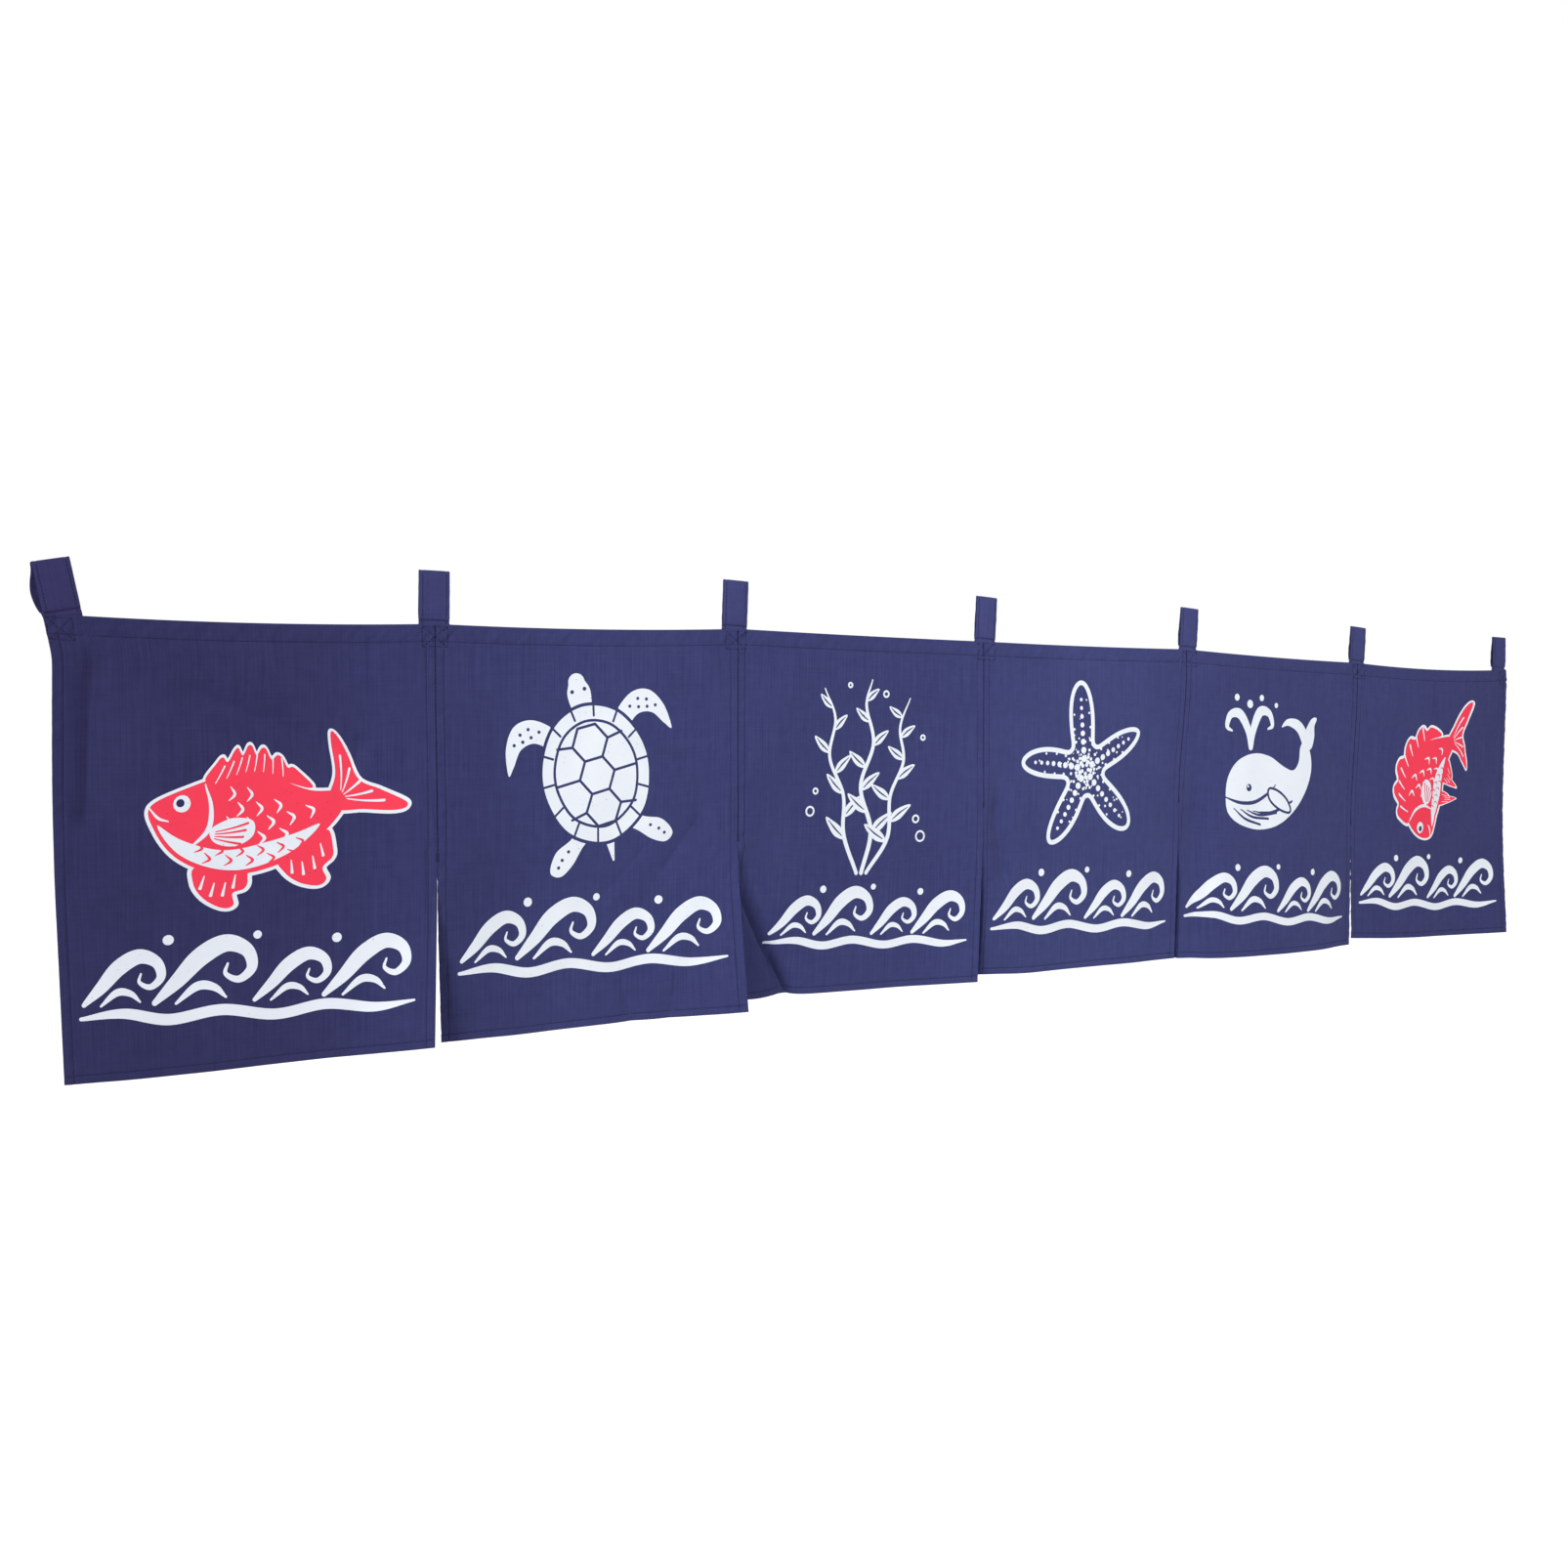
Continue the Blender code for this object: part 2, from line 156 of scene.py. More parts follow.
# top_z: a loop's top. height: over the header. aside: from the seam line. lean: degrees to the
# right. front, back, bulge_at: how its legs bulge. twist: how far the back leg slips to the left.
Loop = namedtuple("Loop", "top_z height aside lean front back bulge_at twist")
LOOPS = (
    Loop(-0.0144, 0.0430, 0.0078, -12.0, 0.0012, 0.0150, 0.55, 0.60),
    Loop(-0.0069, 0.0462, 0.0002, 0.0, 0.0014, 0.0108, 0.15, -0.25),
    Loop(0.0009, 0.0469, -0.0022, 1.8, 0.0014, 0.0108, 0.20, -0.50),
    Loop(0.0000, 0.0480, 0.0042, 2.8, 0.0014, 0.0110, 0.15, -0.65),
    Loop(0.0017, 0.0486, 0.0052, 3.2, 0.0014, 0.0118, 0.12, -0.60),
    Loop(-0.0089, 0.0458, 0.0026, 3.5, 0.0014, 0.0112, 0.15, -0.85),
    Loop(-0.0117, 0.0442, -0.0050, 0.8, 0.0014, 0.0118, 0.12, -0.85),
)
# left_drop, right_drop: header to hem along the cloth. arch: how much shorter the middle is.
# sag: of the header between its loops. belly: how far the middle of the hem hangs back.
Panel = namedtuple("Panel", "left_drop right_drop arch sag belly")
PANELS = (
    Panel(0.3622, 0.3618, 0.0008, 0.0032, 0.011),
    Panel(0.3628, 0.3660, 0.0000, 0.0026, 0.018),
    Panel(0.3600, 0.3600, 0.0000, 0.0006, 0.015),
    Panel(0.3562, 0.3590, 0.0005, 0.0010, 0.008),
    Panel(0.3608, 0.3568, 0.0000, 0.0014, -0.004),
    Panel(0.3508, 0.3568, 0.0020, 0.0042, 0.012),
)
# A free lower corner swings about a line from its edge, starts down, to the hem, reach away.
Corner = namedtuple("Corner", "panel side starts reach back shift bend")
CORNERS = (
    Corner(1, "left", 0.100, 0.120, 0.012, 0.010, 0.50),
    Corner(1, "right", 0.204, 0.100, -0.020, -0.009, 0.25),
    Corner(2, "left", 0.204, 0.120, 0.010, 0.007, 0.50),
    Corner(2, "right", 0.203, 0.075, -0.034, -0.008, 0.30),
    Corner(3, "left", 0.203, 0.090, 0.008, 0.006, 0.50),
    Corner(3, "right", 0.176, 0.090, -0.003, -0.010, 0.20),
    Corner(4, "left", 0.176, 0.080, 0.016, 0.002, 0.50),
    Corner(4, "right", 0.178, 0.090, -0.006, -0.013, 0.20),
    Corner(5, "left", 0.178, 0.060, 0.006, -0.005, 0.50),
    Corner(5, "right", 0.204, 0.110, 0.003, 0.001, 0.50),
    Corner(6, "left", 0.204, 0.150, 0.008, 0.012, 0.30),
    Corner(6, "right", 0.200, 0.090, -0.006, 0.000, 0.50),
)
# A soft trough runs straight from a top point to a foot point of the flat cloth.
Fold = namedtuple(
    "Fold", "panel top_across top_down foot_across foot_down top_depth foot_depth spread crease"
)
FOLDS = (
    Fold(1, 0.028, 0.030, 0.026, 0.150, 0.0035, 0.0015, 0.010, 0.012),
    Fold(1, 0.070, 0.045, 0.255, 0.125, 0.0030, 0.0030, 0.018, 0.022),
    Fold(1, 0.020, 0.215, 0.090, 0.290, 0.0020, 0.0020, 0.015, 0.020),
    Fold(2, 0.262, 0.170, 0.200, 0.262, 0.0035, 0.0025, 0.012, 0.014),
    Fold(2, 0.060, 0.215, 0.110, 0.255, 0.0020, 0.0020, 0.014, 0.018),
    Fold(2, 0.190, 0.310, 0.196, 0.364, 0.0010, 0.0025, 0.008, 0.010),
    Fold(3, 0.004, 0.205, 0.062, 0.360, 0.0060, 0.0170, 0.030, 0.003),
    Fold(4, 0.016, 0.150, 0.026, 0.245, 0.0045, 0.0030, 0.009, 0.010),
    Fold(5, 0.020, 0.150, 0.026, 0.340, 0.0050, 0.0040, 0.010, 0.012),
    Fold(5, 0.215, 0.060, 0.270, 0.120, 0.0020, 0.0025, 0.014, 0.018),
    Fold(6, 0.240, 0.080, 0.150, 0.210, 0.0020, 0.0020, 0.020, 0.025),
)
HELD_FLAT = 0.004
FREE_BY = 0.050
SEAM_HOLD = 0.020
SEAM_LETS_GO = 0.030
BELLY_TOP = 0.050
LEAST_TURN = 1e-6  # keeps a curl that hasn't started from dividing by nothing

# %% [markdown]
# ## What the solids leave out
# Two kinds of form are too fine for the solids and are added here. A crease is a trough with a
# sharp line. It is deepest on the line and dies away over different widths to its left and its
# right. A curl is a free edge that rolls backwards, so that a slit shows a dark cleft and not a flat
# step.
# %% Creases and curls
Crease = namedtuple("Crease", "panel top_across top_down foot_across foot_down depth left right")
CREASES = (
    Crease(1, 0.030, 0.014, 0.025, 0.155, 0.0062, 0.009, 0.016),
    Crease(1, 0.074, 0.046, 0.232, 0.112, 0.0070, 0.018, 0.018),
    Crease(1, 0.026, 0.222, 0.080, 0.262, 0.0026, 0.008, 0.010),
    Crease(1, 0.2905, 0.186, 0.2915, 0.243, 0.0014, 0.0012, 0.0020),
    Crease(2, 0.268, 0.168, 0.226, 0.222, 0.0024, 0.004, 0.009),
    Crease(2, 0.216, 0.190, 0.170, 0.238, 0.0015, 0.006, 0.006),
    Crease(2, 0.240, 0.316, 0.231, 0.366, 0.0016, 0.003, 0.004),
    Crease(2, 0.180, 0.314, 0.196, 0.366, 0.0013, 0.004, 0.004),
    Crease(3, -0.001, 0.240, 0.072, 0.364, 0.0074, 0.0036, 0.0044),
    Crease(4, 0.021, 0.156, 0.034, 0.248, 0.0064, 0.009, 0.0050),
    Crease(5, 0.026, 0.140, 0.030, 0.330, 0.0062, 0.010, 0.008),
    Crease(5, 0.205, 0.062, 0.262, 0.112, 0.0016, 0.008, 0.008),
    Crease(6, 0.236, 0.086, 0.168, 0.190, 0.0018, 0.012, 0.012),
)
# starts, full: where the curl starts, and from where it is complete. reach: how much cloth it
# takes. bend: over how much of that it turns, the rest being straight.
Curl = namedtuple("Curl", "panel side starts full reach bend degrees")
CURLS = (
    Curl(5, "left", 0.205, 0.275, 0.0090, 0.0030, 92),
    Curl(4, "left", 0.200, 0.330, 0.0058, 0.0024, 88),
)
print(len(FOLDS), "troughs,", len(CREASES), "creases and", len(CURLS), "rolled edges")

# %% [markdown]
# ## From the tables to a surface
# The functions below turn those tables into a hanging surface. They take whole arrays of points at
# once, because the fine sheets have tens of thousands of them. A point of the cloth is known by its
# place on the flat panel: how far across from the left edge, and how far down from the header's
# top. First comes where it hangs seen from above, which each kind of form moves a little.
# %% Seams, header and hem
def smooth(share):
    """0 to 1 with level ends."""
    share = np.clip(share, 0.0, 1.0)
    return share * share * (3 - 2 * share)


def seam_x(line):
    return (line - PANEL_COUNT / 2) * PANEL_WIDTH


def header_z(line):
    return LOOPS[line].top_z - LOOPS[line].height


def top_z(panel, across):
    share = across / PANEL_WIDTH
    straight = header_z(panel - 1) * (1 - share) + header_z(panel) * share
    return straight - PANELS[panel - 1].sag * 4 * share * (1 - share)


def drop_at(panel, across):
    row = PANELS[panel - 1]
    share = across / PANEL_WIDTH
    straight = row.left_drop * (1 - share) + row.right_drop * share
    return straight - row.arch * 4 * share * (1 - share)


print("panel 2 measures", round(drop_at(2, PANEL_WIDTH / 2) * 1000, 1), "mm down its middle")


# %% Outer edges, sewn seams and free corners
def seam_offset(line, down):
    row = SEAMS[line]
    shift = row.flare * (1 - smooth(down / row.flare_length))
    if not row.sewn:
        return shift, 0.0 * down
    rise = smooth((down - HEADER_HEIGHT) / (row.sewn - HEADER_HEIGHT))
    return shift + row.shift * rise, row.back * rise


def hinge(turn, bend):
    turn = np.maximum(turn, 0.0)
    eased = np.where(turn < bend, turn * turn / (2 * bend), turn - bend / 2)
    return eased / (1 - bend / 2)


def corner_swing(panel, across, down):
    drop = drop_at(panel, across)
    shift = back = 0.0 * across
    for row in CORNERS:
        if row.panel != panel:
            continue
        edge = across if row.side == "left" else PANEL_WIDTH - across
        turn = (down - row.starts) / (drop - row.starts) - edge / row.reach
        bent = hinge(turn, row.bend)
        shift = shift + row.shift * bent
        back = back + row.back * bent
    return shift, back


swing = corner_swing(2, PANEL_WIDTH, drop_at(2, PANEL_WIDTH))
print("the right corner of panel 2 swings by", [round(float(way) * 1000) for way in swing], "mm")


# %% Troughs, and how free the cloth is
def fold_depth(panel, across, down):
    depth = 0.0 * across
    for row in FOLDS:
        if row.panel != panel:
            continue
        run = np.array((row.foot_across - row.top_across, row.foot_down - row.top_down))
        away_across = across - row.top_across
        away_down = down - row.top_down
        share = (away_across * run[0] + away_down * run[1]) / (run @ run)
        share = np.clip(share, 0.0, 1.0)
        distance = np.hypot(away_across - run[0] * share, away_down - run[1] * share)
        along = row.top_depth + (row.foot_depth - row.top_depth) * share
        rounded = np.hypot(distance, row.crease) - row.crease
        depth = depth + along * np.exp(-rounded / row.spread)
    return depth


def freedom(panel, across, down):
    """0 where the cloth is held flat, and 1 where it is free."""
    free = smooth((down - HEADER_HEIGHT - HELD_FLAT) / FREE_BY)
    for line, edge in ((panel - 1, across), (panel, PANEL_WIDTH - across)):
        sewn = SEAMS[line].sewn
        if sewn:
            loose = smooth((down - sewn) / SEAM_LETS_GO)
            free = free * (loose + (1 - loose) * (1 - np.exp(-((edge / SEAM_HOLD) ** 2))))
    return free


print("40 mm down, panel 2 is free by", round(float(freedom(2, 0.150, 0.040)), 2))


# %% Edges that roll back
def roll(panel, across, down):
    """How far a rolled edge goes to the right and to the back of where it would hang flat."""
    right = back = 0.0 * across
    for row in CURLS:
        if row.panel != panel:
            continue
        edge = across if row.side == "left" else PANEL_WIDTH - across
        taken = np.maximum(row.reach - edge, 0)
        bending = np.minimum(taken, row.bend)
        straight = taken - bending
        turn = math.radians(row.degrees) * smooth((down - row.starts) / (row.full - row.starts))
        turn = turn + LEAST_TURN
        round_part = row.bend / turn
        angle = bending / round_part
        drawn_in = bending - round_part * np.sin(angle) + straight * (1 - np.cos(turn))
        right = right + (drawn_in if row.side == "left" else -drawn_in)
        back = back + round_part * (1 - np.cos(angle)) + straight * np.sin(turn)
    return right, back


print("the rolled edge of panel 5 goes back by", round(float(roll(5, 0.0, 0.3)[1]) * 1000, 1), "mm")


# %% All of it together, seen from above
def plan(panel, across, down):
    left, right = SEAMS[panel - 1], SEAMS[panel]
    left_shift, left_back = seam_offset(panel - 1, down)
    right_shift, right_back = seam_offset(panel, down)
    share = across / PANEL_WIDTH
    x = seam_x(panel - 1) + across + left_shift * (1 - share) + right_shift * share
    y = left_back * np.exp(-((across / left.right_reach) ** 2))
    y = y + right_back * np.exp(-(((PANEL_WIDTH - across) / right.left_reach) ** 2))
    hang = smooth((down - BELLY_TOP) / (drop_at(panel, across) - BELLY_TOP))
    belly = PANELS[panel - 1].belly * hang * np.sin(math.pi * share)
    y = y + (belly + fold_depth(panel, across, down)) * freedom(panel, across, down)
    corner_shift, corner_back = corner_swing(panel, across, down)
    roll_right, roll_back = roll(panel, across, down)
    return x + corner_shift + roll_right, CLOTH_Y + y + corner_back + roll_back


print("half way down, the middle of panel 3 lies at y", round(float(plan(3, 0.150, 0.180)[1]), 4))

# %% [markdown]
# ## How high a point hangs
# Height comes last. A thread neither stretches nor shrinks, so where it leans or goes round a fold
# its foot rises. That is a sum down each thread, worked out once for each panel on an even net and
# read off between its lines.
# %% How high it hangs, and which way it faces
NET_ACROSS = 76
NET_DOWN = 190
NET_DEPTH = 0.372
nets = {}


def height_net(panel):
    """Heights under the header's top, on an even net of the panel."""
    if panel not in nets:
        across, down = np.meshgrid(
            np.linspace(0, PANEL_WIDTH, NET_ACROSS),
            np.linspace(0, NET_DEPTH, NET_DOWN),
            indexing="ij",
        )
        x, y = plan(panel, across, down)
        length = NET_DEPTH / (NET_DOWN - 1)
        lean = np.hypot(np.diff(x, axis=1), np.diff(y, axis=1))
        falls = np.cumsum(np.sqrt(length**2 - lean**2), axis=1)
        nets[panel] = np.pad(falls, ((0, 0), (1, 0)))
    return nets[panel]


def between_lines(net, across, down):
    """A value of the net between its lines."""
    i = np.clip(across / PANEL_WIDTH * (NET_ACROSS - 1), 0, NET_ACROSS - 1.001)
    j = np.clip(down / NET_DEPTH * (NET_DOWN - 1), 0, NET_DOWN - 1.001)
    left, over = i.astype(int), j.astype(int)
    right_share, under_share = i - left, j - over
    top = net[left, over] * (1 - right_share) + net[left + 1, over] * right_share
    foot = net[left, over + 1] * (1 - right_share) + net[left + 1, over + 1] * right_share
    return top * (1 - under_share) + foot * under_share


def hang(panel, across, down):
    """Points of the cloth's middle, as rows of x, y, z."""
    x, y = plan(panel, across, down)
    fall = between_lines(height_net(panel), across, down)
    return np.stack((x, y, top_z(panel, across) - fall), axis=-1)


FACING_STEP = 0.0015


def facing(panel, across, down):
    """The cloth's unit normal, towards the back."""
    beside = hang(panel, across + FACING_STEP, down) - hang(panel, across - FACING_STEP, down)
    over = hang(panel, across, np.maximum(down - FACING_STEP, 0))
    run_down = hang(panel, across, down + FACING_STEP) - over
    normal = np.cross(beside, run_down)
    for line, edge in ((panel - 1, across), (panel, PANEL_WIDTH - across)):
        sewn = SEAMS[line].sewn
        if sewn:  # two sewn panels meet on one plane
            held = (edge < SIDE_HEM / 4) & (down <= sewn + SEAM_LETS_GO)
            normal[held, 0] = 0
    return normal / np.linalg.norm(normal, axis=-1, keepdims=True)


foot_place = hang(1, np.array([0.15]), np.array([0.36]))[0]
print("the foot of panel 1 hangs at", foot_place.round(3))

# %% [markdown]
# ## Puckers
# Thread is pulled tighter than the cloth it joins, so a hem isn't flat. It has a shallow groove
# along each row of stitches and short slanting ripples between the row and the edge. They are a
# millimetre or less, so they could be a bump in the material, but they also catch the light along
# the silhouette. Here they are in the mesh. Each ripple is a sum of a few waves of unlike length,
# so that no stretch of hem looks like the next. Where two panels are sewn together, both lie still.
# %% Stitch rows, grooves and ripples
SIDE_STITCH = 0.0078  # from the edge
FOOT_STITCH = 0.0066  # from the hem's foot
HEADER_STITCH = 0.0150  # from the header's top
GROOVE = 0.00052
GROOVE_REACH = 0.0009
BOX_GROOVE = 0.6  # of the other grooves' depth
HEADER_RIPPLE = 0.00085
FOOT_RIPPLE = 0.00060
SIDE_RIPPLE = 0.00055
SEAM_RIPPLE = 0.00050
FIELD_RIPPLE = 0.00110
BOX_RIPPLE = 0.00045
# the lengths of the waves in each ripple
HEADER_WAVES = (0.0091, 0.0153, 0.0287)
BOX_WAVES = (0.0053, 0.0081)
FOOT_WAVES = (0.0083, 0.0131, 0.0239)
SIDE_WAVES = (0.0087, 0.0147, 0.0311)
SEAM_WAVES = (0.019, 0.033)
ACROSS_WAVES = (0.071, 0.123)
DOWN_WAVES = (0.097, 0.163)
BOX_REACH = 0.013
BOX_MARGIN = 0.0024  # of the box of stitches inside the strap's width
BOX_INSIDE = 0.0008  # of an end strap's box inside the curtain's end
BOX_TOP = 0.0022
BOX_FOOT = 0.0195
MEETING = 0.003  # how near to a sewn edge its puckers end
CREASE_ROUND = 0.25  # how round a crease's line is, as a share of its spread
CREASE_STARTS = 0.25  # over which share of its length a crease deepens
CREASE_ENDS = 0.008  # how far past its foot it dies away
print("ripples, deepest:", max(HEADER_RIPPLE, FIELD_RIPPLE) * 1000, "mm")


# %% Waves, lines and the box of stitches
def ripple(run, lengths, seed):
    """-1 to 1: waves of several lengths along run, out of step with each other."""
    total = 0.0 * run
    for i, length in enumerate(lengths):
        start = math.tau * math.sin(12.9898 * (seed + 1.7 * i)) * 43.7585
        total = total + np.sin(math.tau * run / length + start)
    return total / len(lengths)


def near(distance, reach):
    """1 on a line, dying away over reach."""
    return np.exp(-((distance / reach) ** 2))


def to_segment(across, down, start, end):
    """How far points are from a straight line, to its right, and how far along it they lie."""
    run = np.array(end) - start
    length = math.hypot(*run)
    away_across, away_down = across - start[0], down - start[1]
    share = (away_across * run[0] + away_down * run[1]) / length**2
    beside = (away_across * run[1] - away_down * run[0]) / length
    past = np.maximum(np.maximum(-share, share - 1), 0) * length
    return beside, past, np.clip(share, 0, 1)


def box_lines(line):
    """The stitches that hold a strap, from (x, down) to (x, down), with x from the seam line."""
    half = STRAP_WIDTH / 2 - BOX_MARGIN
    left = BOX_INSIDE if line == 0 else -half + LOOPS[line].aside
    right = -BOX_INSIDE if line == PANEL_COUNT else half + LOOPS[line].aside
    corners = ((left, BOX_TOP), (right, BOX_TOP), (right, BOX_FOOT), (left, BOX_FOOT))
    around = list(zip(corners, corners[1:] + corners[:1]))
    return around + [(corners[0], corners[2]), (corners[3], corners[1])]


print("rows of stitches under a strap:", len(box_lines(1)))


# %% How deep every point lies
def crease_depth(panel, across, down):
    back = 0.0 * across
    for row in CREASES:
        if row.panel == panel:
            start, end = (row.top_across, row.top_down), (row.foot_across, row.foot_down)
            beside, past, share = to_segment(across, down, start, end)
            spread = np.where(beside < 0, row.left, row.right)
            rounded = np.hypot(beside / spread, CREASE_ROUND) - CREASE_ROUND
            fade = smooth(share / CREASE_STARTS) * near(past, CREASE_ENDS)
            back = back + row.depth * np.exp(-rounded) * fade
    return back


def relief(panel, across, down):
    """How far the cloth stands back from its smooth hang, with its grooves and puckers."""
    foot = drop_at(panel, across) - down
    edge = np.minimum(across, PANEL_WIDTH - across)
    back = near(down - HEADER_STITCH, GROOVE_REACH)
    back = np.maximum(back, near(foot - FOOT_STITCH, GROOVE_REACH))
    back = np.maximum(back, near(edge - SIDE_STITCH, GROOVE_REACH))
    held = lively = 0.0 * across
    for line, x in ((panel - 1, across), (panel, across - PANEL_WIDTH)):
        for start, end in box_lines(line):
            beside, past, _ = to_segment(x, down, start, end)
            back = np.maximum(back, BOX_GROOVE * near(np.hypot(beside, past), GROOVE_REACH))
        lively = np.maximum(lively, near(x, BOX_REACH) * smooth((0.030 - down) / 0.012))
        sewn = SEAMS[line].sewn
        if sewn:
            still = (1 - smooth(np.abs(x) / MEETING)) * (1 - smooth((down - sewn) / MEETING))
            held = np.maximum(held, still)
    in_header = smooth(down / 0.003) * smooth((HEADER_HEIGHT + 0.004 - down) / 0.008)
    slant = across + 0.8 * down
    pucker = HEADER_RIPPLE * in_header * ripple(slant, HEADER_WAVES, panel)
    slant = across - 1.3 * down
    box_ripple = BOX_RIPPLE * lively * smooth(down / 0.003)
    pucker += box_ripple * ripple(slant, BOX_WAVES, panel + 10)
    in_foot = smooth(foot / 0.002) * smooth((FOOT_STITCH + 0.006 - foot) / 0.008)
    slant = across - 0.7 * foot
    pucker += FOOT_RIPPLE * in_foot * ripple(slant, FOOT_WAVES, panel + 20)
    in_side = smooth((SIDE_STITCH + 0.007 - edge) / 0.010)
    side = np.where(across < PANEL_WIDTH / 2, 1.0, 2.0)
    slant = down + 0.6 * edge + 0.037 * side
    pucker += SIDE_RIPPLE * in_side * ripple(slant, SIDE_WAVES, panel + 40)
    from_seam = near(edge, 0.020) * smooth((edge - 0.001) / 0.006)
    pucker += SEAM_RIPPLE * from_seam * ripple(down + 0.3 * edge, SEAM_WAVES, panel + 60)
    free = smooth((down - HEADER_HEIGHT) / 0.06) * smooth(edge / 0.05)
    drift = ripple(across + 0.35 * down, ACROSS_WAVES, panel + 80)
    drift = drift + ripple(down - 0.4 * across, DOWN_WAVES, panel + 100)
    pucker += FIELD_RIPPLE / 2 * free * drift
    return GROOVE * back + (pucker + crease_depth(panel, across, down)) * (1 - held)


probe = np.linspace(0.02, 0.28, 200)
pucker = relief(1, probe, np.full_like(probe, 0.008))
print("header puckers, deepest to highest:", round(np.ptp(pucker) * 1000, 2), "mm")

# %% [markdown]
# ## Drawing for a screen print
# The motifs are cut as stencils and printed flat before the panel is hemmed. So they are drawn on
# the flat panel, in millimetres. Two kinds of mark are enough: a brush stroke, which is a smooth
# line with a width at each point, and a blob, which is a smooth closed outline. Later marks cover
# the earlier ones, and a mark in bare cloth takes ink away again. An image could hold the drawing
# too, but outlines stay crisp at any size.
# %% Strokes and blobs
CURVE_STEP = 1.3
CAP_POINTS = 7


def curve(points, closed=False):
    """A smooth curve through a few chosen points, as rows of numbers."""
    points = np.array(points, float)
    if closed:
        padded = np.concatenate((points[-1:], points, points[:2]))
    else:
        first, last = 2 * points[0] - points[1], 2 * points[-1] - points[-2]
        padded = np.concatenate(([first], points, [last]))
    pieces = []
    for p0, p1, p2, p3 in zip(padded, padded[1:], padded[2:], padded[3:]):
        steps = max(2, int(np.linalg.norm((p2 - p1)[:2]) / CURVE_STEP))
        t = np.linspace(0, 1, steps, endpoint=False)[:, None]
        cubic = (3 * (p1 - p2) + p3 - p0) * t**3 + (2 * p0 - 5 * p1 + 4 * p2 - p3) * t**2
        pieces.append((cubic + (p2 - p0) * t + 2 * p1) / 2)
    if not closed:
        pieces.append(points[-1:])
    return np.concatenate(pieces)


def sideways(line, closed=False):
    """Unit vectors to the left of a line."""
    if closed:
        along = np.roll(line, -1, axis=0) - np.roll(line, 1, axis=0)
    else:
        along = np.gradient(line, axis=0)
    left = np.stack((-along[:, 1], along[:, 0]), axis=-1)
    return left / np.linalg.norm(left, axis=1, keepdims=True)


def stroke(points, grow=0.0):
    """A brush stroke through points of (x, y, width), with round ends."""
    line = curve(points)
    place, half = line[:, :2], line[:, 2:] / 2 + grow
    left = sideways(place)
    caps = []
    for end, turn_from in ((-1, left[-1]), (0, -left[0])):
        turns = np.linspace(0, math.pi, CAP_POINTS + 2)[1:-1]
        across = np.array((turn_from[1], -turn_from[0]))
        arc = np.cos(turns)[:, None] * turn_from + np.sin(turns)[:, None] * across
        caps.append(place[end] + arc * half[end])
    sides = (place + left * half, place - left * half)
    return np.concatenate((sides[0], caps[0], sides[1][::-1], caps[1]))


def blob(points, grow=0.0):
    """A smooth closed outline through points of (x, y)."""
    line = curve(points, closed=True)
    onward = np.roll(line, -1, axis=0)
    turn = np.sign(np.sum(line[:, 0] * onward[:, 1] - onward[:, 0] * line[:, 1]))
    return line - sideways(line, closed=True) * turn * grow


def disc(x, y, radius, sides=14):
    turns = np.arange(sides) * math.tau / sides
    return np.stack((x + radius * np.cos(turns), y + radius * np.sin(turns)), axis=-1)


print("a test stroke has", len(stroke(((0, 0, 4), (20, 5, 6), (40, 0, 1)))), "points")


# %% Rims, moves and bends
def rimmed(forms, ink, rim_ink, rim):
    """Forms of (maker, points) in one ink, with one rim all round them in another."""
    under = [(rim_ink, maker(points, rim)) for maker, points in forms]
    return under + [(ink, maker(points)) for maker, points in forms]


def moved(marks, x=0.0, y=0.0, size=1.0, turn=0.0, flip=False):
    """Marks mirrored, scaled, turned by degrees to the left and then moved."""
    angle = math.radians(turn)
    spin = np.array(((math.cos(angle), math.sin(angle)), (-math.sin(angle), math.cos(angle))))
    mirror = np.array((-1.0 if flip else 1.0, 1.0))
    return [(ink, outline * mirror * size @ spin + (x, y)) for ink, outline in marks]


def bent(marks, radius):
    """Marks bent round a circle below them, or above them for a negative radius."""
    done = []
    for ink, outline in marks:
        x, y = outline.T
        reach = radius + y
        bent_line = np.stack((reach * np.sin(x / radius), reach * np.cos(x / radius) - radius), -1)
        done.append((ink, bent_line))
    return done


print("a rimmed disc is", len(rimmed([(blob, disc(0, 0, 9))], "red", "white", 2)), "marks")

